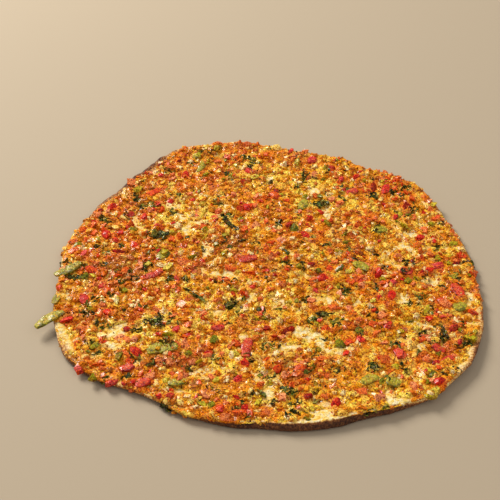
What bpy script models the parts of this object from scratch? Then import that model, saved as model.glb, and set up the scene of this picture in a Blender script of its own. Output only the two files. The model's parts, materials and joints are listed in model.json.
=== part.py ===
"""Lahmacun: a thin, hand-stretched round flatbread under a spread of minced meat and chopped vegetables.

Units are metres. The origin is the middle of the flat underside, where the bread rests on the table.
+X is the right-hand side of the bread as served, +Y its far side and +Z up.
Directions round the bread are in degrees, anticlockwise from +X.
"""

import math
from typing import Callable, NamedTuple

import bmesh
import bpy
from mathutils import Matrix, Vector, noise
from mathutils.bvhtree import BVHTree

MM = 0.001
GAP = 0.3 * MM  # clearance between touching pieces

# The flatbread: an almost round sheet, flat on the table inside and curling up along its rim.
SEGMENTS = 88
BASE_RADIUS = 141.5 * MM
BREAD_THICKNESS = 2.2 * MM
RIM_THICKNESS = 2.6 * MM
CURL_WIDTH = 22 * MM  # the band inside the rim that leaves the table
RIM_CURL = 1.2 * MM  # how far the underside stands off the table at the rim
LIP_ROUND = 0.9 * MM  # how far the rim's middle height stands out past its edges

# The topping: one spread of mince, onion, tomato and pepper, out to its uneven upper surface.
TOPPING_THICKNESS = 2.3 * MM
TOPPING_EDGE = 1.1 * MM  # its thickness at its own edge
TOPPING_TAPER = 7 * MM  # the band over which it thins out
BARE_RIM = 0.8 * MM  # the strip of bread left bare along the rim
LUMP_SIZES = ((19 * MM, 0.45 * MM), (9.5 * MM, 0.35 * MM))  # wavelength and height of its lumps


class Bulge(NamedTuple):
    """A rise in some quantity round the rim: where it peaks, how high, and how wide it is."""

    direction: float
    height: float
    spread: float


# The bread was stretched by hand, so it bulges out in five places, with smaller corners and one dent.
OUTLINE_BULGES = (
    Bulge(36, 5.0 * MM, 14),
    Bulge(112, 14.5 * MM, 20),
    Bulge(182, 3.5 * MM, 22),
    Bulge(214, 12.5 * MM, 19),
    Bulge(323, 13.5 * MM, 27),
    Bulge(39, 5.0 * MM, 9),
    Bulge(66, 3.0 * MM, 6),
    Bulge(99, 4.5 * MM, 7),
    Bulge(117, 4.5 * MM, 7),
    Bulge(147, 2.5 * MM, 13),
    Bulge(169, 2.0 * MM, 7),
    Bulge(237, -5.5 * MM, 8),
    Bulge(276, 2.0 * MM, 18),
    Bulge(309, 4.0 * MM, 7),
)
# Small waves left in the rim by the fingertips: number of waves round the rim, height, phase in degrees.
FINGER_WAVES = ((9, 0.7 * MM, 40), (17, 0.5 * MM, 10), (29, 0.4 * MM, 75))
# Where the baked rim curls further off the table, and where its side puffed up thick and brown.
CURL_BULGES = (Bulge(322, 3.2 * MM, 24), Bulge(196, 1.2 * MM, 22), Bulge(95, 2.2 * MM, 34))
PUFF_BULGES = (Bulge(281, 3.8 * MM, 22), Bulge(205, 1.0 * MM, 16))
# Where the topping stops short of the rim and leaves the bread bare.
BARE_BULGES = (Bulge(279, 3.2 * MM, 11), Bulge(327, 3.4 * MM, 9), Bulge(207, 1.6 * MM, 8))


class ThinPatch(NamedTuple):
    """A place where the topping was spread so thin that the bread shows: centre, half sizes and turn."""

    x: float
    y: float
    half_length: float
    half_width: float
    turn: float


THIN_PATCHES = (
    ThinPatch(27 * MM, -67 * MM, 20 * MM, 8 * MM, -14),
    ThinPatch(-100 * MM, -66 * MM, 17 * MM, 7 * MM, 20),
    ThinPatch(-42 * MM, -97 * MM, 19 * MM, 6 * MM, 8),
    ThinPatch(-27 * MM, -8 * MM, 18 * MM, 9 * MM, 12),
    ThinPatch(-52 * MM, 56 * MM, 16 * MM, 9 * MM, 30),
    ThinPatch(20 * MM, -33 * MM, 17 * MM, 8 * MM, 10),
    ThinPatch(97 * MM, 26 * MM, 13 * MM, 16 * MM, 0),
    ThinPatch(49 * MM, 93 * MM, 14 * MM, 9 * MM, -20),
)
THIN_DEPTH = 1.1 * MM


class Slice(NamedTuple):
    """A piece in the topping as large as a berry: its centre, length, width, direction and sideways bend."""

    x: float
    y: float
    length: float
    width: float
    turn: float
    bend: float = 0.0


class Kind(NamedTuple):
    """What the pieces of one ingredient share."""

    name: str
    thickness: float
    proud: float  # how far the top face stands above the topping round it
    end_width: float  # width at the ends, as a share of the width in the middle
    steps: int  # cross sections along the length
    colour: tuple[float, float, float]
    roughness: float


GREEN_PEPPER = Kind("green_pepper_slice", 1.9 * MM, 0.9 * MM, 0.5, 4, (0.36, 0.36, 0.03), 0.35)
RED_PEPPER = Kind("red_pepper_piece", 1.8 * MM, 0.8 * MM, 0.66, 2, (0.55, 0.04, 0.02), 0.32)
PARSLEY = Kind("parsley_leaf", 0.8 * MM, 0.6 * MM, 0.4, 3, (0.05, 0.09, 0.02), 0.5)

GREEN_PEPPER_SLICES = (
    Slice(-143 * MM, -56 * MM, 22 * MM, 6.4 * MM, 42, 1.2 * MM),
    Slice(-139 * MM, -5 * MM, 21 * MM, 6.4 * MM, 38, -1.0 * MM),
    Slice(-68 * MM, -80 * MM, 20 * MM, 8.4 * MM, 12, 1.5 * MM),
    Slice(61 * MM, -107 * MM, 13 * MM, 6.2 * MM, 27, 1.4 * MM),
    Slice(75 * MM, -109 * MM, 9.5 * MM, 6.4 * MM, -24, 0.6 * MM),
    Slice(65 * MM, -1 * MM, 13 * MM, 6.6 * MM, -38, 0.6 * MM),
    Slice(127 * MM, -42 * MM, 9.5 * MM, 7.6 * MM, 20),
    Slice(27 * MM, 69 * MM, 13 * MM, 6.4 * MM, 66, -0.6 * MM),
    Slice(-74 * MM, 11 * MM, 11 * MM, 7.0 * MM, 47),
    Slice(83 * MM, 39 * MM, 10 * MM, 6.2 * MM, 18, 0.6 * MM),
    Slice(-57 * MM, -108 * MM, 11.5 * MM, 5.4 * MM, 14),
    Slice(-52 * MM, 119 * MM, 16 * MM, 4.6 * MM, 78, -1.0 * MM),
)
RED_PEPPER_PIECES = (
    Slice(-80 * MM, -10 * MM, 16 * MM, 5.6 * MM, 34),
    Slice(-14 * MM, -79 * MM, 17 * MM, 7.0 * MM, 80, 0.6 * MM),
    Slice(128 * MM, -26 * MM, 13.5 * MM, 7.6 * MM, -76),
    Slice(-78 * MM, -109 * MM, 10 * MM, 7.0 * MM, 24),
    Slice(-89 * MM, -96 * MM, 9 * MM, 6.4 * MM, 31),
    Slice(107 * MM, -80 * MM, 9 * MM, 6.4 * MM, -49),
    Slice(82 * MM, -84 * MM, 9.5 * MM, 6.6 * MM, -56),
    Slice(117 * MM, -37 * MM, 9.5 * MM, 5.6 * MM, -47),
    Slice(-14 * MM, 7 * MM, 13 * MM, 6.8 * MM, 19),
    Slice(111 * MM, -90 * MM, 9 * MM, 5.2 * MM, 24),
    Slice(66 * MM, 86 * MM, 9.5 * MM, 8.0 * MM, 21),
    Slice(96 * MM, -6 * MM, 9 * MM, 7.2 * MM, -17),
)
PARSLEY_LEAVES = (
    Slice(-27 * MM, 45 * MM, 20 * MM, 5.6 * MM, -50, 1.0 * MM),
    Slice(-77 * MM, 34 * MM, 13 * MM, 5.0 * MM, 17),
    Slice(42 * MM, 70 * MM, 12 * MM, 6.2 * MM, 30),
    Slice(-50 * MM, -30 * MM, 22 * MM, 2.4 * MM, -42, -1.2 * MM),
    Slice(-73 * MM, -56 * MM, 11.5 * MM, 6.4 * MM, 37),
    Slice(-24 * MM, -39 * MM, 9 * MM, 4.6 * MM, 16),
    Slice(66 * MM, -96 * MM, 8.5 * MM, 4.6 * MM, -4),
    Slice(10 * MM, -114 * MM, 9.5 * MM, 4.4 * MM, -8, 0.5 * MM),
    Slice(-129 * MM, -13 * MM, 12 * MM, 4.6 * MM, 24),
    Slice(35 * MM, -50 * MM, 10 * MM, 4.6 * MM, -10, 0.8 * MM),
)


# --- the shape of the bread and of its topping -------------------------------------------------


def rise(direction: float, bulges: tuple[Bulge, ...]) -> float:
    """The sum of the bulges in one direction round the rim."""
    total = 0.0
    for bulge in bulges:
        away = (direction - bulge.direction + 180) % 360 - 180
        total += bulge.height * math.exp(-((away / bulge.spread) ** 2))
    return total


def rim_radius(direction: float) -> float:
    """Distance from the centre to the bread's rim."""
    waves = sum(
        height * math.sin(math.radians(count * direction + phase)) for count, height, phase in FINGER_WAVES
    )
    return BASE_RADIUS + rise(direction, OUTLINE_BULGES) + waves


def curl(direction: float, inset: float) -> float:
    """0 where the bread lies on the table, rising to 1 at the rim. The inset is measured inwards from the rim."""
    return max(0.0, 1.0 - inset / CURL_WIDTH) ** 2


def underside_height(direction: float, inset: float) -> float:
    """Height of the bread's underside above the table."""
    return (RIM_CURL + rise(direction, CURL_BULGES)) * curl(direction, inset)


def bread_top_height(direction: float, inset: float) -> float:
    """Height of the bread's upper surface above the table."""
    rim = RIM_CURL + RIM_THICKNESS + rise(direction, CURL_BULGES) + rise(direction, PUFF_BULGES)
    return BREAD_THICKNESS + (rim - BREAD_THICKNESS) * curl(direction, inset)


def thinness(x: float, y: float) -> float:
    """1 in the middle of a thin patch of topping and 0 away from all of them."""
    most = 0.0
    for patch in THIN_PATCHES:
        turn = math.radians(patch.turn)
        along = (x - patch.x) * math.cos(turn) + (y - patch.y) * math.sin(turn)
        across = (y - patch.y) * math.cos(turn) - (x - patch.x) * math.sin(turn)
        reach = (along / patch.half_length) ** 2 + (across / patch.half_width) ** 2
        most = max(most, math.exp(-reach))
    return most


def topping_thickness(x: float, y: float, from_edge: float) -> float:
    """Thickness of the topping, lumps and thin patches included."""
    full = TOPPING_THICKNESS - THIN_DEPTH * thinness(x, y)
    for wavelength, height in LUMP_SIZES:
        full += height * noise.noise(Vector((x, y, wavelength)) / wavelength)
    share = min(1.0, from_edge / TOPPING_TAPER)
    return TOPPING_EDGE + (max(full, TOPPING_EDGE) - TOPPING_EDGE) * math.sqrt(share)


# --- modelling helpers -------------------------------------------------------------------------


def clear_scene() -> None:
    """Removes whatever the file opened with."""
    for old in list(bpy.data.objects):
        bpy.data.objects.remove(old, do_unlink=True)


def new_collection(name: str) -> bpy.types.Collection:
    """A new collection in the scene."""
    collection = bpy.data.collections.new(name)
    bpy.context.scene.collection.children.link(collection)
    return collection


def principled(name: str, colour: tuple[float, float, float], roughness: float) -> bpy.types.Material:
    """A plain non-metallic material."""
    material = bpy.data.materials.new(name)
    material.use_nodes = True
    shader = material.node_tree.nodes["Principled BSDF"]
    shader.inputs["Base Color"].default_value = (*colour, 1.0)
    shader.inputs["Roughness"].default_value = roughness
    shader.inputs["Metallic"].default_value = 0.0
    return material


def ringed_skin(mesh: bmesh.types.BMesh, heights: list[Callable[[float], Vector]]) -> list:
    """Adds an open round skin: a flat-filled innermost ring, then one ring of faces for each further entry.

    Each entry gives the point of its ring in a direction. Returns the edges of the outermost ring.
    """
    disc = bmesh.ops.create_circle(mesh, cap_ends=True, segments=SEGMENTS, radius=1.0)
    ring = list(disc["verts"])
    directions = [math.degrees(math.atan2(v.co.y, v.co.x)) % 360 for v in ring]
    edges = [e for e in mesh.edges if e.verts[0] in ring and e.verts[1] in ring]
    for number, place in enumerate(heights):
        if number:
            before = ring
            grown = bmesh.ops.extrude_edge_only(mesh, edges=edges)["geom"]
            edges = [g for g in grown if isinstance(g, bmesh.types.BMEdge) and not g.is_manifold]
            edges = [e for e in edges if e.verts[0] not in before and e.verts[1] not in before]
            partner = {}
            for vert in (g for g in grown if isinstance(g, bmesh.types.BMVert)):
                inner = next(e.other_vert(vert) for e in vert.link_edges if e.other_vert(vert) in before)
                partner[inner] = vert
            ring = [partner[v] for v in before]
        for vert, direction in zip(ring, directions):
            vert.co = place(direction)
    return edges


def closed_layer(
    name: str,
    under: list[Callable[[float], Vector]],
    over: list[Callable[[float], Vector]],
    material: bpy.types.Material,
    collection: bpy.types.Collection,
) -> bpy.types.Object:
    """One closed round layer between an underside and an upper side, each given as its rings."""
    mesh = bmesh.new()
    lower_edge = ringed_skin(mesh, under)
    upper_edge = ringed_skin(mesh, over)
    bmesh.ops.bridge_loops(mesh, edges=lower_edge + upper_edge)
    bmesh.ops.recalc_face_normals(mesh, faces=mesh.faces[:])
    data = bpy.data.meshes.new(name)
    mesh.to_mesh(data)
    mesh.free()
    data.materials.append(material)
    layer = bpy.data.objects.new(name, data)
    collection.objects.link(layer)
    return layer


def at_inset(inset: float, height: Callable[[float, float], float]) -> Callable[[float], Vector]:
    """The ring at a distance inwards from the rim, at the height that a surface has there."""

    def place(direction: float) -> Vector:
        radius = rim_radius(direction) - inset
        turn = math.radians(direction)
        return Vector((radius * math.cos(turn), radius * math.sin(turn), height(direction, inset)))

    return place


# --- the pieces --------------------------------------------------------------------------------


def make_flatbread(collection: bpy.types.Collection) -> bpy.types.Object:
    """The bread: flat on the table, with a rounded rim that curls up and puffs out along the front."""
    insets = (CURL_WIDTH, 15 * MM, 9 * MM, 4.5 * MM)
    under = [at_inset(inset, underside_height) for inset in insets]
    over = [at_inset(inset, bread_top_height) for inset in insets]
    under.append(at_inset(LIP_ROUND, underside_height))
    over.append(at_inset(0.6 * LIP_ROUND, bread_top_height))
    over.append(at_inset(0.0, lambda d, i: 0.45 * underside_height(d, i) + 0.55 * bread_top_height(d, i)))
    crumb = principled("baked_bread", (0.72, 0.42, 0.16), 0.75)
    return closed_layer("flatbread", under, over, crumb, collection)


def topping_margin(direction: float) -> float:
    """Width of the bare strip between the topping's edge and the bread's rim."""
    return BARE_RIM + rise(direction, BARE_BULGES)


def make_topping(collection: bpy.types.Collection) -> bpy.types.Object:
    """The spread of mince and vegetables: it follows the bread below and is lumpy above."""

    def bottom(inset: float) -> Callable[[float], Vector]:
        return at_inset(inset, lambda d, i: bread_top_height(d, i) + GAP)

    def edge_bottom(direction: float) -> Vector:
        return bottom(topping_margin(direction))(direction)

    def top(from_edge: float, share: float = 1.0) -> Callable[[float], Vector]:
        def place(direction: float) -> Vector:
            inset = topping_margin(direction) + from_edge
            radius = (rim_radius(direction) - inset) * share
            inset = rim_radius(direction) - radius
            turn = math.radians(direction)
            x, y = radius * math.cos(turn), radius * math.sin(turn)
            depth = inset - topping_margin(direction)
            height = bread_top_height(direction, inset) + GAP + topping_thickness(x, y, depth)
            return Vector((x, y, height))

        return place

    under = [bottom(inset) for inset in (CURL_WIDTH, 15 * MM, 9 * MM)] + [edge_bottom]
    inner_shares = (0.05, 0.17, 0.29, 0.41, 0.53, 0.65, 0.77, 0.89)
    over = [top(14 * MM, share) for share in inner_shares]
    over += [top(14 * MM), top(7 * MM), top(2.5 * MM), top(0.5 * MM)]
    spread = principled("meat_topping", (0.58, 0.22, 0.035), 0.45)
    return closed_layer("meat_topping", under, over, spread, collection)


def slab(kind: Kind, piece: Slice, clearance: float = 0.0) -> bmesh.types.BMesh:
    """A chopped piece lying along +X with its top face up: bent, narrower at its ends and slightly arched."""
    mesh = bmesh.new()
    bmesh.ops.create_cube(mesh, size=1.0)
    lengthwise = [e for e in mesh.edges if abs(e.verts[0].co.x - e.verts[1].co.x) > 0.5]
    bmesh.ops.subdivide_edges(mesh, edges=lengthwise, cuts=kind.steps, use_grid_fill=True)
    for vert in mesh.verts:
        along = 2 * vert.co.x
        narrowing = 1 - (1 - kind.end_width) * along**2
        vert.co.x *= piece.length + 2 * clearance
        vert.co.y *= piece.width * narrowing + 2 * clearance
        vert.co.y += piece.bend * (1 - along**2)
        vert.co.z *= kind.thickness + 2 * clearance
        vert.co.z += kind.proud - kind.thickness / 2
    return mesh


def height_of(surface: BVHTree, point: Vector) -> float | None:
    """Height of a surface straight above or below a point, or None beside it."""
    hit = surface.ray_cast(Vector((point.x, point.y, 0.1)), Vector((0, 0, -1)))[0]
    return None if hit is None else hit.z


def slope_along(surface: BVHTree, centre: Vector, direction: Vector, span: float) -> Vector:
    """The direction again, tilted to the surface under its two ends. It stays level where an end hangs over."""
    ends = [centre - direction * span, centre + direction * span]
    heights = [height_of(surface, end) for end in ends]
    if None in heights:
        return direction
    return Vector((*(ends[1] - ends[0]).xy, heights[1] - heights[0])).normalized()


def resting_place(kind: Kind, piece: Slice, topping: BVHTree, bread: BVHTree) -> Matrix:
    """Where a piece lies: turned, tilted to the topping under it and lifted clear of the bread."""
    turn = math.radians(piece.turn)
    forward = Vector((math.cos(turn), math.sin(turn), 0))
    sideways = Vector((-forward.y, forward.x, 0))
    centre = Vector((piece.x, piece.y, 0))
    axis_x = slope_along(topping, centre, forward, 0.35 * piece.length)
    axis_y = slope_along(topping, centre, sideways, 0.35 * piece.width)
    axis_z = axis_x.cross(axis_y).normalized()
    place = Matrix((axis_x, axis_z.cross(axis_x), axis_z)).transposed().to_4x4()
    support = centre
    while height_of(topping, support) is None:
        support = support - centre.normalized() * MM
    place.translation = Vector((piece.x, piece.y, height_of(topping, support)))
    probe = slab(kind, piece, GAP)
    corners = [place @ vert.co for vert in probe.verts]
    probe.free()
    floors = [(corner.z, height_of(bread, corner)) for corner in corners]
    sunk = max((floor + GAP - z for z, floor in floors if floor is not None), default=0.0)
    place.translation.z += max(0.0, sunk)
    return place


def object_from(
    name: str, mesh: bmesh.types.BMesh, place: Matrix, collection: bpy.types.Collection
) -> bpy.types.Object:
    """A new object at a place, from a mesh that is used up."""
    data = bpy.data.meshes.new(name)
    mesh.to_mesh(data)
    mesh.free()
    made = bpy.data.objects.new(name, data)
    made.matrix_world = place
    collection.objects.link(made)
    return made


def cut_recess(topping: bpy.types.Object, cutter: bpy.types.Object) -> None:
    """Makes room in the topping for a piece that is pressed into it."""
    cutter.hide_render = True
    cutter.display_type = "WIRE"
    recess = topping.modifiers.new(cutter.name, "BOOLEAN")
    recess.operation = "DIFFERENCE"
    recess.object = cutter


def make_slices(
    kind: Kind,
    pieces: tuple[Slice, ...],
    topping: bpy.types.Object,
    surfaces: tuple[BVHTree, BVHTree],
    collection: bpy.types.Collection,
    cutters: bpy.types.Collection,
) -> None:
    """All the berry-sized pieces of one ingredient, each pressed into the topping."""
    material = principled(kind.name, kind.colour, kind.roughness)
    for number, piece in enumerate(pieces, start=1):
        name = f"{kind.name}_{number:02d}"
        place = resting_place(kind, piece, *surfaces)
        made = object_from(name, slab(kind, piece), place, collection)
        made.data.materials.append(material)
        edges = made.modifiers.new("rounded_edges", "BEVEL")
        edges.width = 0.22 * kind.thickness
        edges.segments = 1
        edges.limit_method = "ANGLE"
        edges.angle_limit = math.radians(40)
        cutter = object_from(f"recess_{name}", slab(kind, piece, GAP), place, cutters)
        cut_recess(topping, cutter)


def main() -> None:
    """Builds the lahmacun."""
    clear_scene()
    lahmacun = new_collection("lahmacun")
    cutters = new_collection("cutters")
    bread = make_flatbread(lahmacun)
    topping = make_topping(lahmacun)
    bpy.context.view_layer.update()
    view = bpy.context.evaluated_depsgraph_get()
    surfaces = (BVHTree.FromObject(topping, view), BVHTree.FromObject(bread, view))
    make_slices(GREEN_PEPPER, GREEN_PEPPER_SLICES, topping, surfaces, lahmacun, cutters)
    make_slices(RED_PEPPER, RED_PEPPER_PIECES, topping, surfaces, lahmacun, cutters)
    make_slices(PARSLEY, PARSLEY_LEAVES, topping, surfaces, lahmacun, cutters)


if __name__ == "__main__":
    main()
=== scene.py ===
"""Looks of a lahmacun: a thin flatbread under baked mince, peppers, tomato, onion and parsley.

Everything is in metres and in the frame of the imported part: +Z up, the origin in the middle of the
underside. Places and sizes below are in millimetres, times MM. Turns are in degrees, anticlockwise from +X.
"""

from __future__ import annotations

import json
import logging
import math
from contextlib import contextmanager
from dataclasses import dataclass, field
from enum import Enum
from typing import Callable, Iterator, Sequence

import bpy
import numpy as np
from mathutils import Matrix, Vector
from mathutils.bvhtree import BVHTree

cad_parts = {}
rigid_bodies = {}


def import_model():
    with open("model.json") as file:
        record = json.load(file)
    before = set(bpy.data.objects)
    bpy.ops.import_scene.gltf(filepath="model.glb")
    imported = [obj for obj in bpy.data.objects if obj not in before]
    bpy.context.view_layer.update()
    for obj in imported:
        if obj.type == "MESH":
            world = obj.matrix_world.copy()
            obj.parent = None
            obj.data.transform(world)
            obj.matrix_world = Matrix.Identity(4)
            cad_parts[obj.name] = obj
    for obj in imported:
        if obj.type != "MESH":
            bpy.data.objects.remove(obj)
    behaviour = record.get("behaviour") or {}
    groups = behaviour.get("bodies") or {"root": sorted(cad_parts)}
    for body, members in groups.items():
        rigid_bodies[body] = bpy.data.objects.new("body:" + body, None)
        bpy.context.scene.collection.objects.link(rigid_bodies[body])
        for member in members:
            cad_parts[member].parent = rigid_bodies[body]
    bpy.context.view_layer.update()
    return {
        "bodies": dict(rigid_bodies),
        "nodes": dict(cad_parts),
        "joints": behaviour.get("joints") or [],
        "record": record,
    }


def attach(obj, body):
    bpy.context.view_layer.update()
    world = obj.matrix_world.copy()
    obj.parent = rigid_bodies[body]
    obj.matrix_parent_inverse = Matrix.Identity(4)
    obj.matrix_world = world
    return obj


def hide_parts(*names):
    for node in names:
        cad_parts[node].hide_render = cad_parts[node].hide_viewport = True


LOG = logging.getLogger("lahmacun")
MM = 0.001
# How far from the middle the rim's patches and the topping's edge patches are read.
RIM_REACH = 148 * MM
EDGE_REACH = 140 * MM
# The small circle on which the unevenness along the rim is read, so that it closes on itself.
COLLAR = 0.15
# Far above or below the bread, where rays start.
CLEAR = 0.1

Colour = tuple[float, float, float]
Screen = tuple[int, int, int]
Stop = tuple[float, int, int, int]
Span = tuple[float, float]
Array = np.ndarray
Piece = bpy.types.Object
Socket = bpy.types.NodeSocket
Node = bpy.types.Node
Material = bpy.types.Material


def screen(red: int, green: int, blue: int) -> Colour:
    """Linear colour of a screen colour, which runs from 0 to 255."""
    shares = (value / 255 for value in (red, green, blue))
    return tuple(s / 12.92 if s <= 0.04045 else ((s + 0.055) / 1.055) ** 2.4 for s in shares)


# ---- Uneven fields ----


def around(direction: Array, radius: Array | float) -> tuple[Array, Array]:
    """Places along X and Y, from directions and distances from the middle."""
    return radius * np.cos(direction), radius * np.sin(direction)


def polar(x: Array, y: Array) -> tuple[Array, Array]:
    """Each place's direction in radians and its distance from the middle."""
    return np.arctan2(y, x), np.hypot(x, y)


def lattice(column: Array, row: Array, seed: int) -> Array:
    """A fixed random value for each lattice cell.

    Args:
        column: Whole column numbers.
        row: Whole row numbers.
        seed: Which set of random values.

    Returns:
        Values from 0 to 1, the same for the same cell and seed.
    """
    low_bits = np.uint64(0xFFFFFFFF)
    mixed = column.astype(np.uint64) * np.uint64(374761393) + row.astype(np.uint64) * np.uint64(668265263)
    mixed = (mixed + np.uint64(seed * 974634777)) & low_bits
    mixed = ((mixed ^ (mixed >> np.uint64(13))) * np.uint64(1274126177)) & low_bits
    mixed = (mixed ^ (mixed >> np.uint64(16))) & low_bits
    return mixed.astype(np.float64) / 0xFFFFFFFF


def waves(x: Array, y: Array, wavelength: float, seed: int, octaves: int = 1) -> Array:
    """Smooth random hills and hollows.

    Args:
        x, y: Places, in metres.
        wavelength: Size of the largest hills, in metres.
        seed: Which set of hills.
        octaves: How many finer sets are added, each half as large and half as high.

    Returns:
        Heights from about -1 to 1.
    """
    total = np.zeros(np.shape(x))
    height, reach = 1.0, 0.0
    for octave in range(octaves):
        across = np.asarray(x) / wavelength * 2**octave + 4096
        along = np.asarray(y) / wavelength * 2**octave + 4096
        column, row = np.floor(across), np.floor(along)
        u, v = across - column, along - row
        u, v = u * u * (3 - 2 * u), v * v * (3 - 2 * v)
        corner = [[lattice(column + i, row + j, seed + octave) for j in (0, 1)] for i in (0, 1)]
        near = corner[0][0] * (1 - v) + corner[0][1] * v
        far = corner[1][0] * (1 - v) + corner[1][1] * v
        total += height * (2 * (near * (1 - u) + far * u) - 1)
        reach += height
        height *= 0.5
    return total / reach * 1.35


def crumbs(x: Array, y: Array, size: float, seed: int) -> tuple[Array, Array]:
    """A packed layer of round crumbs.

    Args:
        x, y: Places, in metres.
        size: Distance between crumbs, in metres.
        seed: Which layer.

    Returns:
        The distance to the nearest crumb's middle in crumb sizes, and that crumb's random value.
    """
    across, along = np.asarray(x) / size + 4096, np.asarray(y) / size + 4096
    column, row = np.floor(across), np.floor(along)
    nearest = np.full(np.shape(x), 9.0)
    value = np.zeros(np.shape(x))
    for i in (-1, 0, 1):
        for j in (-1, 0, 1):
            middle_x = column + i + 0.15 + 0.7 * lattice(column + i, row + j, seed)
            middle_y = row + j + 0.15 + 0.7 * lattice(column + i, row + j, seed + 1)
            away = np.hypot(across - middle_x, along - middle_y)
            closer = away < nearest
            nearest = np.where(closer, away, nearest)
            value = np.where(closer, lattice(column + i, row + j, seed + 2), value)
    return nearest, value


def smooth_step(low: float, high: float, value: Array) -> Array:
    """Eases from 0 at low to 1 at high."""
    share = np.clip((value - low) / (high - low), 0, 1)
    return share * share * (3 - 2 * share)


def softened(field_values: Array, passes: int) -> Array:
    """Blurs a square field.

    Args:
        field_values: The field.
        passes: How many times each value is averaged with its neighbours.

    Returns:
        The blurred field.
    """
    soft = field_values.copy()
    for _ in range(passes):
        padded = np.pad(soft, 1, mode="edge")
        soft = (padded[:-2, 1:-1] + padded[2:, 1:-1] + padded[1:-1, :-2] + padded[1:-1, 2:] + 2 * soft) / 6
    return soft


@dataclass
class Patch:
    """A soft oval place on the bread: its middle, half sizes, turn and how strongly it counts."""

    x: float
    y: float
    half_length: float
    half_width: float
    turn: float = 0.0
    strength: float = 1.0

    def reach(self, x: Array, y: Array) -> Array:
        """Strength of the patch over the bread.

        Args:
            x, y: Places, in metres.

        Returns:
            The strength in the middle, falling to about a third of it at the patch's edge.
        """
        turn = math.radians(self.turn)
        away_x, away_y = x - self.x * MM, y - self.y * MM
        along = (away_x * math.cos(turn) + away_y * math.sin(turn)) / (self.half_length * MM)
        across = (away_y * math.cos(turn) - away_x * math.sin(turn)) / (self.half_width * MM)
        return self.strength * np.exp(-(along**2 + across**2))


def patches(*rows: tuple[float, ...]) -> tuple[Patch, ...]:
    """Patches from rows of x, y, half length, half width, and turn and strength if any."""
    return tuple(Patch(*row) for row in rows)


def drift(places: Sequence[Patch], x: Array, y: Array) -> Array:
    """The sum of some patches."""
    return sum((patch.reach(x, y) for patch in places), np.zeros(np.shape(x)))


@dataclass
class Raster:
    """A square of fine cells over the bread, for heights and shares that change from place to place."""

    half: float = 172 * MM
    cell: float = 0.6 * MM
    x: Array = field(init=False)
    y: Array = field(init=False)

    def __post_init__(self) -> None:
        """Lays out the cells."""
        count = int(round(2 * self.half / self.cell)) + 1
        axis = np.linspace(-self.half, self.half, count)
        self.x, self.y = np.meshgrid(axis, axis)

    def read(self, values: Array, x: Array, y: Array) -> Array:
        """Reads a field between its cells.

        Args:
            values: The field.
            x, y: Places, in metres.

        Returns:
            The field's values there.
        """
        last = values.shape[0] - 2
        across = np.clip((np.asarray(x) + self.half) / self.cell, 0, last + 0.999)
        along = np.clip((np.asarray(y) + self.half) / self.cell, 0, last + 0.999)
        column, row = across.astype(int), along.astype(int)
        u, v = across - column, along - row
        low = values[row, column] * (1 - u) + values[row, column + 1] * u
        high = values[row + 1, column] * (1 - u) + values[row + 1, column + 1] * u
        return low * (1 - v) + high * v

    def heap(self, values: Array, x: float, y: float, radius: float, height: float) -> None:
        """Raises a small round mound in a field.

        Args:
            values: The field, changed in place.
            x, y: The mound's middle.
            radius: The mound's radius.
            height: Its height.
        """
        span = int(math.ceil(radius / self.cell))
        column = int(round((x + self.half) / self.cell))
        row = int(round((y + self.half) / self.cell))
        rows, columns = slice(row - span, row + span + 1), slice(column - span, column + span + 1)
        away = np.hypot(self.x[rows, columns] - x, self.y[rows, columns] - y) / radius
        mound = height * np.clip(1 - away**2, 0, 1) ** 2
        values[rows, columns] = np.maximum(values[rows, columns], mound)


# ---- Modelling with operators ----


def only(piece: Piece) -> None:
    """Selects one object and nothing else.

    Args:
        piece: The object.
    """
    if bpy.context.object and bpy.context.object.mode != "OBJECT":
        bpy.ops.object.mode_set(mode="OBJECT")
    for other in bpy.context.selected_objects:
        other.select_set(False)
    piece.select_set(True)
    bpy.context.view_layer.objects.active = piece


def added(name: str) -> Piece:
    """Names the primitive that was just added."""
    piece = bpy.context.object
    piece.name = piece.data.name = name
    return piece


def points_of(piece: Piece) -> Array:
    """The piece's points as rows of x, y and z."""
    flat = np.empty(len(piece.data.vertices) * 3)
    piece.data.vertices.foreach_get("co", flat)
    return flat.reshape(-1, 3)


def set_points(piece: Piece, points: Array) -> None:
    """Moves the piece's points."""
    piece.data.vertices.foreach_set("co", np.ascontiguousarray(points, dtype=np.float64).ravel())
    piece.data.update()


def set_values(piece: Piece, name: str, values: Array) -> None:
    """Stores one number for each point, which a material can read."""
    layer = piece.data.attributes.new(name, "FLOAT", "POINT")
    layer.data.foreach_set("value", np.ascontiguousarray(values, dtype=np.float32))


def linked(name: str, data: bpy.types.ID) -> Piece:
    """A new object in the scene."""
    piece = bpy.data.objects.new(name, data)
    bpy.context.scene.collection.objects.link(piece)
    return piece


@contextmanager
def editing(piece: Piece) -> Iterator[None]:
    """Edit mode on one piece, with all of it selected at first.

    Args:
        piece: The piece.

    Yields:
        Nothing, while edit mode lasts.
    """
    only(piece)
    bpy.ops.object.mode_set(mode="EDIT")
    bpy.ops.mesh.select_all(action="SELECT")
    yield
    bpy.ops.object.mode_set(mode="OBJECT")


def finish_shape(piece: Piece, name: str, kind: str, **settings: object) -> None:
    """Adds a modifier and applies it.

    Args:
        piece: The piece.
        name: The modifier's name.
        kind: The modifier's type.
        **settings: Its settings.
    """
    only(piece)
    modifier = piece.modifiers.new(name, kind)
    for key, value in settings.items():
        setattr(modifier, key, value)
    bpy.ops.object.modifier_apply(modifier=modifier.name)


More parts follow.
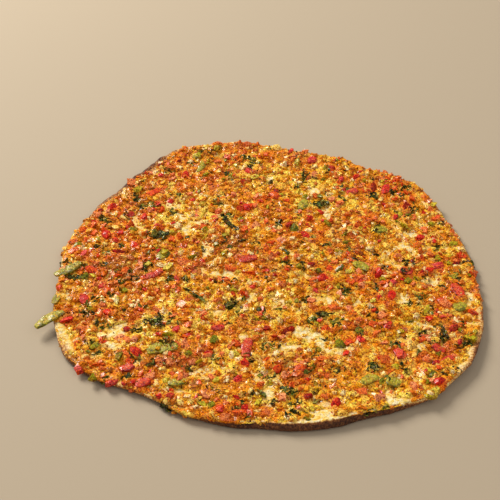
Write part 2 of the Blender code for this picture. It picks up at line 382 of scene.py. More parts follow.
def round_sheet(name: str, cuts: int) -> Piece:
    """A flat disc of radius 1 made of even square faces, with no pole in its middle.

    Args:
        name: The piece's name.
        cuts: Faces along each side of the square that it is rounded from.

    Returns:
        The disc.
    """
    bpy.ops.object.select_all(action="DESELECT")
    bpy.ops.mesh.primitive_grid_add(x_subdivisions=cuts, y_subdivisions=cuts, size=2.0, location=(0, 0, 0))
    sheet = added(name)
    points = points_of(sheet)
    x, y = points[:, 0].copy(), points[:, 1].copy()
    wide = np.abs(x) > np.abs(y)
    radius = np.where(wide, x, y)
    other = np.where(wide, y, x)
    turn = np.pi / 4 * np.divide(other, radius, out=np.zeros_like(other), where=radius != 0)
    points[:, 0] = radius * np.where(wide, np.cos(turn), np.sin(turn))
    points[:, 1] = radius * np.where(wide, np.sin(turn), np.cos(turn))
    set_points(sheet, points)
    return sheet


def grow_rings(sheet: Piece, rings: Sequence[Callable[[Array], Array]]) -> None:
    """Extrudes a sheet's edge ring by ring, closes the last ring and turns all faces outwards.

    Args:
        sheet: An open sheet.
        rings: For each ring, a function from directions in radians to points.
    """
    with editing(sheet):
        bpy.ops.mesh.select_mode(type="EDGE")
        bpy.ops.mesh.region_to_loop()
        for place in rings:
            bpy.ops.mesh.extrude_edges_move()
            bpy.ops.object.mode_set(mode="OBJECT")
            picked = np.empty(len(sheet.data.vertices), dtype=bool)
            sheet.data.vertices.foreach_get("select", picked)
            points = points_of(sheet)
            points[picked] = place(np.arctan2(points[picked, 1], points[picked, 0]))
            set_points(sheet, points)
            bpy.ops.object.mode_set(mode="EDIT")
        bpy.ops.mesh.edge_face_add()
    with editing(sheet):
        bpy.ops.mesh.normals_make_consistent(inside=False)


def shade_round(piece: Piece) -> None:
    """Shades a piece smooth all over."""
    piece.data.polygons.foreach_set("use_smooth", np.ones(len(piece.data.polygons), dtype=bool))
    piece.data.update()


# ---- Shading ----


class Shading:
    """Builds one node tree, a material's or a group's, with short calls."""

    def __init__(self, tree: bpy.types.NodeTree) -> None:
        """Takes the tree to build in."""
        self.tree = tree

    def node(self, kind: str, **settings: object) -> Node:
        """Adds a node.

        Args:
            kind: The node's type.
            **settings: Its settings.

        Returns:
            The node.
        """
        made = self.tree.nodes.new(kind)
        for key, value in settings.items():
            setattr(made, key, value)
        return made

    def put(self, target: Socket, source: object) -> None:
        """Links a socket to another, or sets its value.

        Args:
            target: The socket.
            source: The other socket, or the value.
        """
        if isinstance(source, Socket):
            self.tree.links.new(source, target)
        elif isinstance(source, tuple) and len(source) == 3 and target.type == "RGBA":
            target.default_value = (*source, 1.0)
        else:
            target.default_value = source

    def fed(self, kind: str, **sources: object) -> Node:
        """Adds a node and feeds its inputs, named with underscores for spaces."""
        made = self.node(kind)
        self.feed(made, **sources)
        return made

    def feed(self, node: Node, **sources: object) -> None:
        """Feeds a node's inputs, named with underscores for spaces."""
        for name, source in sources.items():
            self.put(node.inputs[name.replace("_", " ")], source)

    def object_place(self) -> Socket:
        """Object coordinates."""
        return self.node("ShaderNodeTexCoord").outputs["Object"]

    def value_of(self, name: str) -> Socket:
        """A number stored on the mesh."""
        return self.node("ShaderNodeAttribute", attribute_name=name).outputs["Fac"]

    def noise(self, place: object, size: float, detail: float = 2.0, warp: float = 0.0) -> Socket:
        """Soft noise from 0 to 1, with hills of a size in metres."""
        made = self.fed("ShaderNodeTexNoise", Vector=place, Scale=1 / size, Detail=detail, Distortion=warp)
        return made.outputs["Fac"]

    def effect(self, which: Effect, **values: float) -> Node:
        """Places a shared effect, built once, with its own values.

        Args:
            which: Which effect.
            **values: Its inputs, with underscores for spaces.

        Returns:
            The group node.
        """
        group = bpy.data.node_groups.get(which.value) or EFFECT_MAKERS[which]()
        node = self.node("ShaderNodeGroup", node_tree=group)
        self.feed(node, **values)
        return node

    def ramp(self, share: object, stops: Sequence[Stop]) -> Socket:
        """A run of colours.

        Args:
            share: Where along the run, 0 to 1.
            stops: Where each colour stands, and the colour, from 0 to 255.

        Returns:
            The colour.
        """
        made = self.node("ShaderNodeValToRGB")
        band = made.color_ramp
        while len(band.elements) < len(stops):
            band.elements.new(0.5)
        for element, (place, *colour) in zip(band.elements, stops):
            element.position = place
            element.color = (*screen(*colour), 1.0)
        self.put(made.inputs["Fac"], share)
        return made.outputs["Color"]

    def blend(self, share: object, one: object, other: object, way: str = "MIX") -> Socket:
        """Blends two colours.

        Args:
            share: How much of the other colour, 0 to 1.
            one: The first colour.
            other: The other colour.
            way: The blend type.

        Returns:
            The blended colour.
        """
        made = self.node("ShaderNodeMix", data_type="RGBA", blend_type=way)
        self.put(made.inputs[0], share)
        self.put(made.inputs[6], one)
        self.put(made.inputs[7], other)
        return made.outputs[2]

    def math(self, what: str, one: object, other: object = 0.0) -> Socket:
        """One sum."""
        made = self.node("ShaderNodeMath", operation=what)
        self.put(made.inputs[0], one)
        self.put(made.inputs[1], other)
        return made.outputs[0]

    def plus(self, one: object, other: object) -> Socket:
        """Two numbers added."""
        return self.math("ADD", one, other)

    def times(self, one: object, other: object) -> Socket:
        """Two numbers multiplied."""
        return self.math("MULTIPLY", one, other)

    def centred(self, share: object) -> Socket:
        """A number from 0 to 1, brought to between -0.5 and 0.5."""
        return self.math("SUBTRACT", share, 0.5)

    def spread(self, share: object, low: float, high: float, start: float = 0.0, end: float = 1.0) -> object:
        """Maps the range from low to high onto the one from start to end, clamped."""
        ends = {"From_Min": low, "From_Max": high, "To_Min": start, "To_Max": end}
        return self.fed("ShaderNodeMapRange", Value=share, **ends).outputs["Result"]

    def shade_and_glint_speckled(self, colour: object, grain: Node, share: float = 1.0) -> object:
        """Painted light over a colour: a fine brightness factor, painted shade in tiny hollows and pale
        painted glints.

        Args:
            colour: The colour.
            grain: The placed group of food grain, with its painted light and shade.
            share: How strong they are.

        Returns:
            The speckled colour.
        """
        # Painted light: brighter and darker by the fine factor, darker brown as painted shade in tiny
        # hollows, and pale yellow as painted glints.
        colour = self.blend(share, colour, grain.outputs["Light"], "MULTIPLY")
        pit_shade = self.times(grain.outputs["Pits"], share)
        colour = self.blend(pit_shade, colour, screen(212, 140, 60), "MULTIPLY")
        return self.blend(self.times(grain.outputs["Flecks"], share), colour, screen(255, 196, 84))

    def bump(self, height: object, depth: float, under: object = None) -> Socket:
        """Fine relief.

        Args:
            height: The relief, 0 to 1.
            depth: Its depth, in metres.
            under: The relief that it lies on.

        Returns:
            The normal.
        """
        made = self.fed("ShaderNodeBump", Distance=depth, Strength=1.0, Height=height)
        if under is not None:
            self.put(made.inputs["Normal"], under)
        return made.outputs["Normal"]


class Effect(Enum):
    """The shader groups that several materials share."""

    # Food grain, with a fine speckle of painted light, painted shade and painted glints.
    FOOD_GRAIN = "food_grain_and_shade"
    OIL_FILM = "oil_film"


def new_group(effect: Effect, takes: dict[str, float], gives: Sequence[str]) -> tuple[Shading, Node, Node]:
    """An empty shader group of numbers.

    Args:
        effect: Which effect it is.
        takes: Its inputs and their values.
        gives: Its outputs.

    Returns:
        The group's shading, and the nodes where numbers enter and leave.
    """
    group = bpy.data.node_groups.new(effect.value, "ShaderNodeTree")
    for name, value in takes.items():
        socket = group.interface.new_socket(name, in_out="INPUT", socket_type="NodeSocketFloat")
        socket.default_value = value
    for name in gives:
        group.interface.new_socket(name, in_out="OUTPUT", socket_type="NodeSocketFloat")
    build = Shading(group)
    return build, build.node("NodeGroupInput"), build.node("NodeGroupOutput")


def grain_and_shade_group() -> bpy.types.NodeTree:
    """Mottled colour and soft fine relief inside a piece of food, with a fine speckle of painted light and
    shade.

    Returns:
        The group: Grain Size (cells per metre) in; Tone, Relief, Light (a painted light factor), Pits
            (painted shade in tiny hollows) and Glints (painted glints) out.
    """
    gives = ("Tone", "Relief", "Light", "Pits", "Flecks")
    build, entry, leave = new_group(Effect.FOOD_GRAIN, {"Grain Size": 1000.0}, gives)
    size, place = entry.outputs[0], build.object_place()
    blotches = build.fed("ShaderNodeTexNoise", Vector=place, Scale=build.times(size, 0.6), Detail=3.0)
    kernels = build.fed("ShaderNodeTexVoronoi", Vector=place, Scale=size)
    domes = build.spread(kernels.outputs["Distance"], 0.0, 0.75, 1.0, 0.0)
    # Painted light and shade from one fine noise: a brightness factor, painted shade in tiny hollows and
    # pale painted glints.
    speckle = build.noise(place, 1.0 * MM, 2.0)
    build.feed(
        leave,
        Tone=build.spread(blotches.outputs["Fac"], 0.3, 0.7),
        Relief=build.times(domes, blotches.outputs["Fac"]),
        Light=build.spread(speckle, 0.32, 0.68, 0.54, 1.46),
        Pits=build.spread(speckle, 0.5, 0.34),
        Flecks=build.spread(speckle, 0.55, 0.72, 0.0, 0.16),
    )
    return build.tree


def oil_film_group() -> bpy.types.NodeTree:
    """Oil that pools unevenly, so that some places shine and others are dry.

    Returns:
        The group: Dry and Wet roughness in, Roughness and Coat out.
    """
    build, entry, leave = new_group(Effect.OIL_FILM, {"Dry": 0.6, "Wet": 0.25}, ("Roughness", "Coat"))
    pools = build.spread(build.noise(build.object_place(), 5 * MM, 3.0), 0.42, 0.6)
    mix = build.node("ShaderNodeMix", data_type="FLOAT")
    build.put(mix.inputs[0], pools)
    build.put(mix.inputs[2], entry.outputs["Dry"])
    build.put(mix.inputs[3], entry.outputs["Wet"])
    build.feed(leave, Roughness=mix.outputs[0], Coat=build.times(pools, 0.5))
    return build.tree


EFFECT_MAKERS = {Effect.FOOD_GRAIN: grain_and_shade_group, Effect.OIL_FILM: oil_film_group}


def new_material(name: str, gloss: float = 0.5) -> tuple[Material, Shading, Node]:
    """A material with its shader.

    Args:
        name: The material's name.
        gloss: How strongly it reflects.

    Returns:
        The material, its shading and its Principled node.
    """
    material = bpy.data.materials.new(name)
    material.use_nodes = True
    shader = material.node_tree.nodes["Principled BSDF"]
    shader.inputs["Specular IOR Level"].default_value = gloss
    return material, Shading(material.node_tree), shader


def soften_light(shader: Node, weight: float, depth: float) -> None:
    """Lets a share of the light into a moist piece of food, to a depth in metres."""
    shader.inputs["Subsurface Weight"].default_value = weight
    shader.inputs["Subsurface Radius"].default_value = LIGHT_REACH
    shader.inputs["Subsurface Scale"].default_value = depth


def lay_oil(build: Shading, shader: Node, dry: float, wet: float) -> None:
    """Lays a film of oil, with its roughness where it is dry and where it is wet."""
    oil = build.effect(Effect.OIL_FILM, Dry=dry, Wet=wet).outputs
    build.feed(shader, Roughness=oil["Roughness"], Coat_Weight=oil["Coat"], Coat_Roughness=OIL_ROUGHNESS)


def add_juice(build: Shading, colour: object, red: float, green: float) -> object:
    """Stains a colour with shares of the red and the green juice that lies beside it."""
    for name, takes, juice in (("blush", red, RED_JUICE), ("herb", green, GREEN_JUICE)):
        colour = build.blend(build.times(build.value_of(name), takes), colour, screen(*juice))
    return colour


RED_JUICE: Screen = (234, 86, 12)
GREEN_JUICE: Screen = (196, 160, 8)
# How far red, green and blue light go into food, beside each other.
LIGHT_REACH = (1.0, 0.5, 0.25)
OIL_ROUGHNESS = 0.13
# How strongly moist food and drier crust reflect.
MOIST_SPECULAR = 0.14
CRUST_SPECULAR = 0.35


@dataclass(frozen=True)
class MorselFinish:
    """The finish of one ingredient's chopped bits."""

    name: str
    tints: tuple[Stop, ...]
    wet: float
    dry: float
    grain: float
    relief: float
    stain: float = 0.3
    # How dark the painted shade is low down on each bit, towards the paste.
    painted_low_shade: float = 0.36
    glow: float = 0.0
    takes: float = 0.0

    def material(self) -> Material:
        """Makes the material: a tint from bit to bit, stains and mottling in each, darker low down as
        painted shade.

        Returns:
            The material.
        """
        material, build, shader = new_material(self.name, MOIST_SPECULAR)
        grain = build.effect(Effect.FOOD_GRAIN, Grain_Size=1 / self.grain)
        wander = build.times(build.centred(grain.outputs["Tone"]), 0.4)
        tint = build.ramp(build.plus(build.value_of("tint"), wander), self.tints)
        stained = build.spread(build.noise(build.object_place(), 2.4 * MM, 2.0), 0.48, 0.66, 0.0, self.stain)
        tint = build.blend(stained, tint, screen(238, 146, 10))
        if self.takes:
            tint = add_juice(build, tint, self.takes, self.takes)
        # Painted shade: each bit darkens low down, where it meets the paste.
        shadow = build.spread(build.value_of("lift"), 0.0, 1.0, self.painted_low_shade, 0.0)
        tint = build.blend(shadow, tint, screen(170, 74, 4), "MULTIPLY")
        lay_oil(build, shader, self.dry, self.wet)
        relief = build.bump(grain.outputs["Relief"], self.relief)
        # Painted light, painted shade in tiny hollows and painted glints over the tint.
        build.feed(shader, Base_Color=build.shade_and_glint_speckled(tint, grain), Normal=relief)
        if self.glow:
            soften_light(shader, self.glow, 1.2 * MM)
        return material


MINCE = MorselFinish(
    "baked_mince",
    (
        (0.0, 250, 176, 20), (0.14, 238, 150, 6), (0.3, 218, 130, 4), (0.46, 236, 126, 4),
        (0.6, 230, 108, 8), (0.7, 220, 90, 14), (0.8, 228, 132, 72), (0.92, 202, 124, 62),
        (1.0, 158, 92, 26),
    ),
    wet=0.4, dry=0.7, grain=1.2 * MM, relief=0.9 * MM, takes=0.45,
)
AMBER_CRUMB = MorselFinish(
    "amber_crumbs",
    ((0.0, 226, 140, 0), (0.4, 246, 170, 6), (0.75, 254, 198, 36), (1.0, 255, 220, 104)),
    wet=0.3, dry=0.6, grain=1.0 * MM, relief=0.4 * MM, stain=0.2, takes=0.35,
)
RED_PEPPER = MorselFinish(
    "roasted_red_pepper",
    (
        (0.0, 138, 8, 6), (0.25, 196, 16, 14), (0.5, 226, 32, 12), (0.75, 206, 34, 46), (0.9, 224, 76, 72),
        (1.0, 236, 84, 20),
    ),
    wet=0.25, dry=0.5, grain=1.6 * MM, relief=0.35 * MM, stain=0.15, glow=0.08,
)
TOMATO = MorselFinish(
    "baked_tomato",
    (
        (0.0, 222, 62, 18), (0.25, 234, 96, 24), (0.5, 238, 122, 56), (0.75, 236, 138, 86),
        (1.0, 238, 156, 108),
    ),
    wet=0.22, dry=0.45, grain=1.4 * MM, relief=0.35 * MM, glow=0.2,
)
GREEN_PEPPER = MorselFinish(
    "roasted_green_pepper",
    ((0.0, 84, 96, 6), (0.35, 134, 138, 8), (0.7, 182, 170, 14), (1.0, 214, 200, 70)),
    wet=0.28, dry=0.5, grain=1.5 * MM, relief=0.3 * MM, glow=0.2,
)
ONION = MorselFinish(
    "soft_onion",
    (
        (0.0, 250, 188, 40), (0.35, 254, 206, 76), (0.7, 255, 228, 140), (0.9, 255, 240, 196),
        (1.0, 246, 202, 84),
    ),
    wet=0.2, dry=0.4, grain=1.8 * MM, relief=0.25 * MM, stain=0.25, takes=0.25, painted_low_shade=0.4, glow=0.3,
)
PARSLEY = MorselFinish(
    "wilted_parsley",
    ((0.0, 12, 22, 2), (0.5, 36, 60, 6), (0.8, 88, 114, 34), (1.0, 156, 164, 84)),
    wet=0.35, dry=0.65, grain=0.9 * MM, relief=0.3 * MM, stain=0.2, painted_low_shade=0.2,
)
SPICE = MorselFinish(
    "dark_spice",
    ((0.0, 20, 12, 6), (0.6, 64, 28, 8), (1.0, 120, 40, 6)),
    wet=0.35, dry=0.6, grain=0.5 * MM, relief=0.1 * MM, stain=0.0, painted_low_shade=0.0,
)


@dataclass(frozen=True)
class PasteFinish:
    """The finish of the fine paste: closed orange ground, and open ground that is yellow with oil."""

    name: str = "mince_paste"
    crumb: float = 3.4 * MM
    fine: float = 1.1 * MM
    closed: tuple[Stop, ...] = (
        (0.0, 234, 114, 6), (0.2, 238, 140, 8), (0.38, 248, 166, 18), (0.5, 234, 130, 6),
        (0.62, 210, 138, 16), (0.74, 238, 124, 26), (0.86, 220, 156, 14), (1.0, 250, 184, 44),
    )
    opened: tuple[Stop, ...] = (
        (0.15, 228, 134, 0), (0.5, 248, 168, 2), (0.8, 255, 198, 26), (1.0, 255, 222, 88),
    )

    def material(self) -> Material:
        """Makes the material: packed crumbs under oil, pale where the spread is thin and paler on its raised
        places, partly as painted highlight, with painted shade in low places.

        Returns:
            The material.
        """
        material, build, shader = new_material(self.name, MOIST_SPECULAR)
        place = build.object_place()
        warp = build.fed("ShaderNodeTexNoise", Vector=place, Scale=1 / (2.4 * MM)).outputs["Color"]
        shift = build.node("ShaderNodeVectorMath", operation="SCALE")
        build.feed(shift, Vector=warp, Scale=2.0 * MM)
        bent = build.node("ShaderNodeVectorMath", operation="ADD")
        build.put(bent.inputs[0], place)
        build.put(bent.inputs[1], shift.outputs[0])
        cells = build.fed("ShaderNodeTexVoronoi", Vector=bent.outputs[0], Scale=1 / self.crumb)
        split = build.fed("ShaderNodeSeparateColor", Color=cells.outputs["Color"])
        broad = build.spread(build.noise(place, 9 * MM, 2.0), 0.32, 0.68)
        mixed = build.plus(build.times(split.outputs[0], 0.5), build.times(broad, 0.5))
        brown = build.spread(build.value_of("meat"), 0.1, 1.0, 0.0, 0.75)
        closed = build.blend(brown, build.ramp(mixed, self.closed), screen(192, 112, 52))
        # Where the spread is thin its colour pales with height: partly the dough's own paler colour, partly
        # painted highlight on raised places.
        ridges_and_highlight = build.plus(build.value_of("lift"), build.times(split.outputs[1], 0.5))
        ridges_and_highlight = build.plus(ridges_and_highlight, build.centred(build.noise(place, 1.8 * MM, 3.0)))
        wander = build.times(build.centred(build.noise(place, 5 * MM, 3.0)), 1.5)
        share = build.spread(build.plus(build.value_of("open"), wander), 0.3, 0.62)
        colour = build.blend(share, closed, build.ramp(ridges_and_highlight, self.opened))
        colour = add_juice(build, colour, 0.8, 0.4)
        # Painted shade: the paste darkens in its low places between the crumbs.
        hollow_shade = build.spread(build.value_of("lift"), 0.05, 0.55, 0.75, 0.0)
        colour = build.blend(hollow_shade, colour, screen(176, 84, 10), "MULTIPLY")
        grain = build.effect(Effect.FOOD_GRAIN, Grain_Size=1 / self.fine)
        lay_oil(build, shader, 0.55, 0.25)
        normal = build.bump(build.spread(cells.outputs["Distance"], 0.0, 0.7, 1.0, 0.0), 0.9 * MM)
        normal = build.bump(build.noise(place, self.fine, 3.0), 0.7 * MM, normal)
        # Painted light, painted shade in tiny hollows and painted glints over the paste's colour.
        build.feed(shader, Base_Color=build.shade_and_glint_speckled(colour, grain), Normal=normal)
        soften_light(shader, 0.12, 1.0 * MM)
        return material


@dataclass(frozen=True)
class DoughFinish:
    """The finish of the baked flatbread, from bare cream crumb to browned and charred crust."""

    name: str = "baked_dough"
    crumb: tuple[Stop, ...] = ((0.34, 246, 190, 60), (0.45, 253, 222, 122), (0.6, 255, 246, 204))
    oily: tuple[Stop, ...] = ((0.3, 236, 146, 0), (0.5, 250, 178, 6), (0.7, 255, 208, 46))
    crust: tuple[Stop, ...] = (
        (0.0, 250, 224, 170), (0.3, 222, 164, 92), (0.55, 160, 98, 50), (0.8, 92, 50, 26), (1.0, 38, 22, 14),
    )

    def material(self) -> Material:
        """Makes the material, which reads how far each place is baked and how oily it is.

        Returns:
            The material.
        """
        material, build, shader = new_material(self.name, CRUST_SPECULAR)
        place = build.object_place()
        mottle = build.noise(place, 3.0 * MM, 4.0, 0.5)
        oily = build.ramp(build.noise(place, 2.2 * MM, 3.0), self.oily)
        stain = build.spread(build.plus(build.value_of("oil"), build.times(mottle, 0.5)), 0.3, 1.1)
        colour = build.blend(stain, build.ramp(mottle, self.crumb), oily)
        bake, under = build.value_of("bake"), build.value_of("under")
        strength = build.spread(bake, 0.05, 0.5, 0.35, 1.25)
        strength = build.times(strength, build.spread(bake, 0.5, 0.75, 1.0, 0.3))
        strength = build.times(strength, build.spread(under, 0.0, 1.0, 1.0, 0.4))
        speckle = build.centred(build.noise(place, 1.6 * MM, 3.0))
        baked = build.plus(bake, build.times(speckle, strength))
        scorched = build.spread(build.noise(place, 11 * MM, 4.0, 0.8), 0.5, 0.7, 0.0, 0.42)
        cloudy = build.centred(build.noise(place, 26 * MM, 3.0, 0.6))
        baked = build.plus(baked, build.times(under, build.plus(scorched, cloudy)))
        colour = build.blend(build.spread(baked, 0.08, 0.4), colour, build.ramp(baked, self.crust))
        grain = build.effect(Effect.FOOD_GRAIN, Grain_Size=1 / (1.5 * MM))
        normal = build.bump(build.noise(place, 1.8 * MM, 4.0), 1.0 * MM)
        # The fine painted light, painted shade in tiny hollows and painted glints grow stronger where the
        # dough is more baked.
        build.feed(
            shader,
            Base_Color=build.shade_and_glint_speckled(colour, grain, build.spread(bake, 0.05, 0.4, 0.22, 0.75)),
            Roughness=build.spread(build.value_of("oil"), 0.0, 0.8, 0.62, 0.26),
            Normal=build.bump(build.noise(place, 0.9 * MM, 2.0), 0.25 * MM, normal),
        )
        soften_light(shader, 0.1, 1.2 * MM)
        return material


# ---- The form under everything ----


@dataclass
class Form:
    """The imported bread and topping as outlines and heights, which all is fitted to."""

    bread: Piece
    topping: Piece
    raster: Raster = field(default_factory=Raster)
    bread_top: Array = field(init=False)
    bread_under: Array = field(init=False)
    topping_top: Array = field(init=False)
    rim: tuple[Array, Array] = field(init=False)
    edge: tuple[Array, Array] = field(init=False)

    def __post_init__(self) -> None:
        """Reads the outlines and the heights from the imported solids."""
        self.rim = self.outline(self.bread)
        self.edge = self.outline(self.topping)
        tree = self.tree_of(self.bread)
        coarse = Raster(self.raster.half, 2.4 * MM)
        direction, reach = polar(coarse.x, coarse.y)
        inside = np.minimum(reach, self.rim_radius(direction) - 1.0 * MM)
        self.bread_top = self.refined(coarse, softened(self.cast(tree, inside, direction, down=True), 1))
        self.bread_under = self.refined(coarse, softened(self.cast(tree, inside, direction, down=False), 1))
        inside = np.minimum(inside, self.edge_radius(direction) - 1.5 * MM)
        heights = self.cast(self.tree_of(self.topping), inside, direction, down=True)
        for _ in range(2):
            heights = np.maximum(heights, softened(heights, 3))
        self.topping_top = self.refined(coarse, softened(heights, 1))

    @staticmethod
    def tree_of(node: Piece) -> BVHTree:
        """A node's mesh, ready for casting rays at."""
        return BVHTree.FromPolygons(
            [v.co.copy() for v in node.data.vertices], [tuple(p.vertices) for p in node.data.polygons]
        )

    @staticmethod
    def outline(node: Piece) -> tuple[Array, Array]:
        """A round node's edge, seen from above.

        Args:
            node: The node.

        Returns:
            Directions in radians, rising, and the edge's distance from the middle in each.
        """
        points = points_of(node)
        ends = np.empty(len(node.data.edges) * 2, dtype=np.int64)
        node.data.edges.foreach_get("vertices", ends)
        one, other = points[ends.reshape(-1, 2)[:, 0], :2], points[ends.reshape(-1, 2)[:, 1], :2]
        directions = np.linspace(-np.pi, np.pi, 720, endpoint=False)
        reach = []
        for direction in directions:
            way = np.array([math.cos(direction), math.sin(direction)])
            side = np.array([-way[1], way[0]])
            left, right = one @ side, other @ side
            crossing = (left * right <= 0) & (left != right)
            share = left[crossing] / (left[crossing] - right[crossing])
            reach.append(np.max(one[crossing] @ way * (1 - share) + other[crossing] @ way * share))
        return directions, np.array(reach)

    def rim_radius(self, direction: Array) -> Array:
        """Distance from the middle to the bread's rim."""
        return np.interp(direction, self.rim[0], self.rim[1], period=2 * np.pi)

    def edge_radius(self, direction: Array) -> Array:
        """Distance from the middle to the topping's edge, which stays clear of the curled rim."""
        edge = np.interp(direction, self.edge[0], self.edge[1], period=2 * np.pi)
        return edge - 2.6 * MM * self.curled(direction)

    @staticmethod
    def curled(direction: Array) -> Array:
        """Where the rim curls up, 0 to 1."""
        return np.clip(drift(CURLED_RIM, *around(direction, RIM_REACH)), 0, 1)

    @staticmethod
    def hanging(direction: Array) -> Array:
        """Where the topping hangs over the rim, 0 to 1."""
        return np.clip(drift(HANGING_EDGE, *around(direction, EDGE_REACH)), 0, 1)

    @staticmethod
    def cast(tree: BVHTree, radius: Array, direction: Array, down: bool) -> Array:
        """Heights of a solid's upper or lower surface.

        Args:
            tree: The solid.
            radius: Distances from the middle.
            direction: Directions in radians.
            down: True for the upper surface, False for the lower one.

        Returns:
            The heights.
        """
        heights = np.zeros(radius.shape)
        start, way = (CLEAR, Vector((0, 0, -1))) if down else (-CLEAR, Vector((0, 0, 1)))
        for place in np.ndindex(radius.shape):
            x = radius[place] * math.cos(direction[place])
            y = radius[place] * math.sin(direction[place])
            hit = tree.ray_cast(Vector((x, y, start)), way)[0]
            heights[place] = hit.z if hit else np.nan
        heights[np.isnan(heights)] = np.nanmean(heights)
        return heights

    def refined(self, coarse: Raster, values: Array) -> Array:
        """A coarse field on the fine cells."""
        return softened(coarse.read(values, self.raster.x, self.raster.y), 3)

    def on_bread(self, x: Array, y: Array) -> Array:
        """Height of the bread's upper surface."""
        return self.raster.read(self.bread_top, x, y)

    def below_bread(self, x: Array, y: Array) -> Array:
        """Height of the bread's lower surface."""
        return self.raster.read(self.bread_under, x, y)


# Places where the topping was spread thin and the bread shows through.
BARE_PATCHES = patches(
    (28, -68, 15, 6, -28, 1.3), (40, -79, 10, 3.5, -8, 1.3), (14, -77, 8, 4, 20, 1.1),
    (-44, -98, 13, 2.2, 6, 1.3), (-58, -113, 12, 1.8, -8, 1.2), (-100, -62, 9, 5, 35, 1.2),
    (-100, -75, 9, 4, -20), (-82, -90, 5, 3, 40), (-36, -6, 12, 3, -12, 1.1), (-44, 20, 4, 14, 12, 1.1),
    (-57, 40, 5, 7, 20, 1.1), (-66, 56, 6, 6, 0, 1.1), (-54, 80, 3, 13, 12, 0.9), (-28, 68, 8, 3, -35),
    (-14, 119, 9, 3.5, -20, 1.1), (2, 108, 3, 9, 0, 0.8), (37, 90, 11, 4, -25), (44, 62, 5, 10, 0, 0.9),
    (-12, -32, 4, 9, -20, 0.9), (10, -30, 8, 6, 0, 0.8), (38, -34, 12, 3.5, -20, 1.1),
    (60, -36, 6, 4, 30, 0.9), (84, 15, 4, 7), (103, 37, 9, 6, -30), (115, 46, 4, 9, 0, 0.8),
    (95, 22, 9, 3, 10, 0.8), (93, -30, 5, 8, -10), (98, -56, 12, 3, -22, 1.1), (98, -78, 3, 8, 8, 1.2),
    (86, -70, 6, 4, 0, 0.9), (136, -35, 4, 8, 0, 1.2), (132, 0, 4, 3), (88, -103, 8, 2.4, -45, 1.1),
    (72, -120, 4, 7, -10, 1.1), (32, -130, 9, 4, 10), (0, -113, 4, 6, 0, 0.9), (120, 70, 3, 8, 15, 0.9),
    (-75, 92, 4, 8, 10, 0.8), (-88, 112, 4, 6, 0, 0.9), (-110, 87, 3, 6, 20, 0.9),
    (-93, 44, 7, 2.5, -30, 0.9), (-138, -28, 4, 5, 0, 0.9), (10, -143, 14, 4, 1, 1.5),
    (26, -141, 12, 4.2, 6, 1.4), (44, -138, 12, 4.0, 14, 1.4), (-10, -141, 8, 3, -4, 1.2),
    (76, -125.5, 10, 3.4, 26, 1.3), (127, -84, 3, 7, -36, 1.2), (117, -96, 3, 4, -40),
    (58, -133.5, 9, 3.2, 16, 1.3), (-131, -70, 3, 12, 30, 1.1),
)
# Where the rim's side is charred and dark all the way up; the dark is partly painted shade on the side wall.
CHARRED_AND_SHADED_SIDE = patches(
    (10, -144, 62, 16, 2, 1.4), (-118, -92, 12, 16, 30, 0.8), (68, -130, 22, 12, 26, 0.8),
)
# Where the rim's upper edge is pale, curls up and is browned.
PALE_RIM = patches((18, -142, 30, 8, 4), (-131, -70, 6, 14, 30, 0.5))
CURLED_RIM = patches(
    (-110, 100, 26, 10, 50), (-84, 122, 22, 8, 40), (-134, 64, 18, 8, 65, 0.5),
)
BROWNED_RIM = patches(
    (-134, 62, 26, 10, 65, 0.9), (-110, 100, 26, 14, 50, 1.3), (-84, 124, 24, 12, 40, 1.3),
    (-128, -84, 10, 16, 30, 0.8), (132, -74, 14, 22, -30, 0.45), (146, -38, 8, 22, 0, 0.45),
)
# Wider places where the topping is thin, oily and yellow.
OPEN_GROUND = patches(
    (-38, -36, 34, 26, 10, 0.75), (0, -38, 22, 16, 0, 0.5), (40, -32, 24, 14, 0, 0.55),
    (28, -68, 24, 14, -20, 0.7), (100, 32, 30, 26, 0, 0.65), (-58, 62, 34, 26, 20, 0.6),
    (38, 84, 26, 26, 0, 0.55), (-100, -70, 24, 16, 10, 0.7), (-26, -92, 36, 12, 5, 0.5),
    (95, -66, 22, 20, 0, 0.5), (-8, 116, 20, 16, 0, 0.5), (28, 12, 26, 14, 0, 0.5),
    (30, -124, 40, 12, 0, 0.5),
)
# Places with more brown meat showing.
MEATY_GROUND = patches(
    (-104, -6, 26, 18, -10), (-62, -88, 22, 10, 10), (-26, 26, 18, 14, 0, 0.9), (-46, -2, 14, 9, 0, 0.8),
    (-8, -54, 14, 10, 0, 0.8), (18, -96, 22, 14, 0, 0.7), (14, 2, 16, 10, 0, 0.7),
    (112, -68, 12, 18, -30, 0.9), (-92, 74, 16, 12, -30, 0.8), (62, 40, 18, 22, 0, 0.6),
    (-30, 96, 24, 16, 0, 0.5), (-114, -50, 16, 10, 0, 0.8),
)


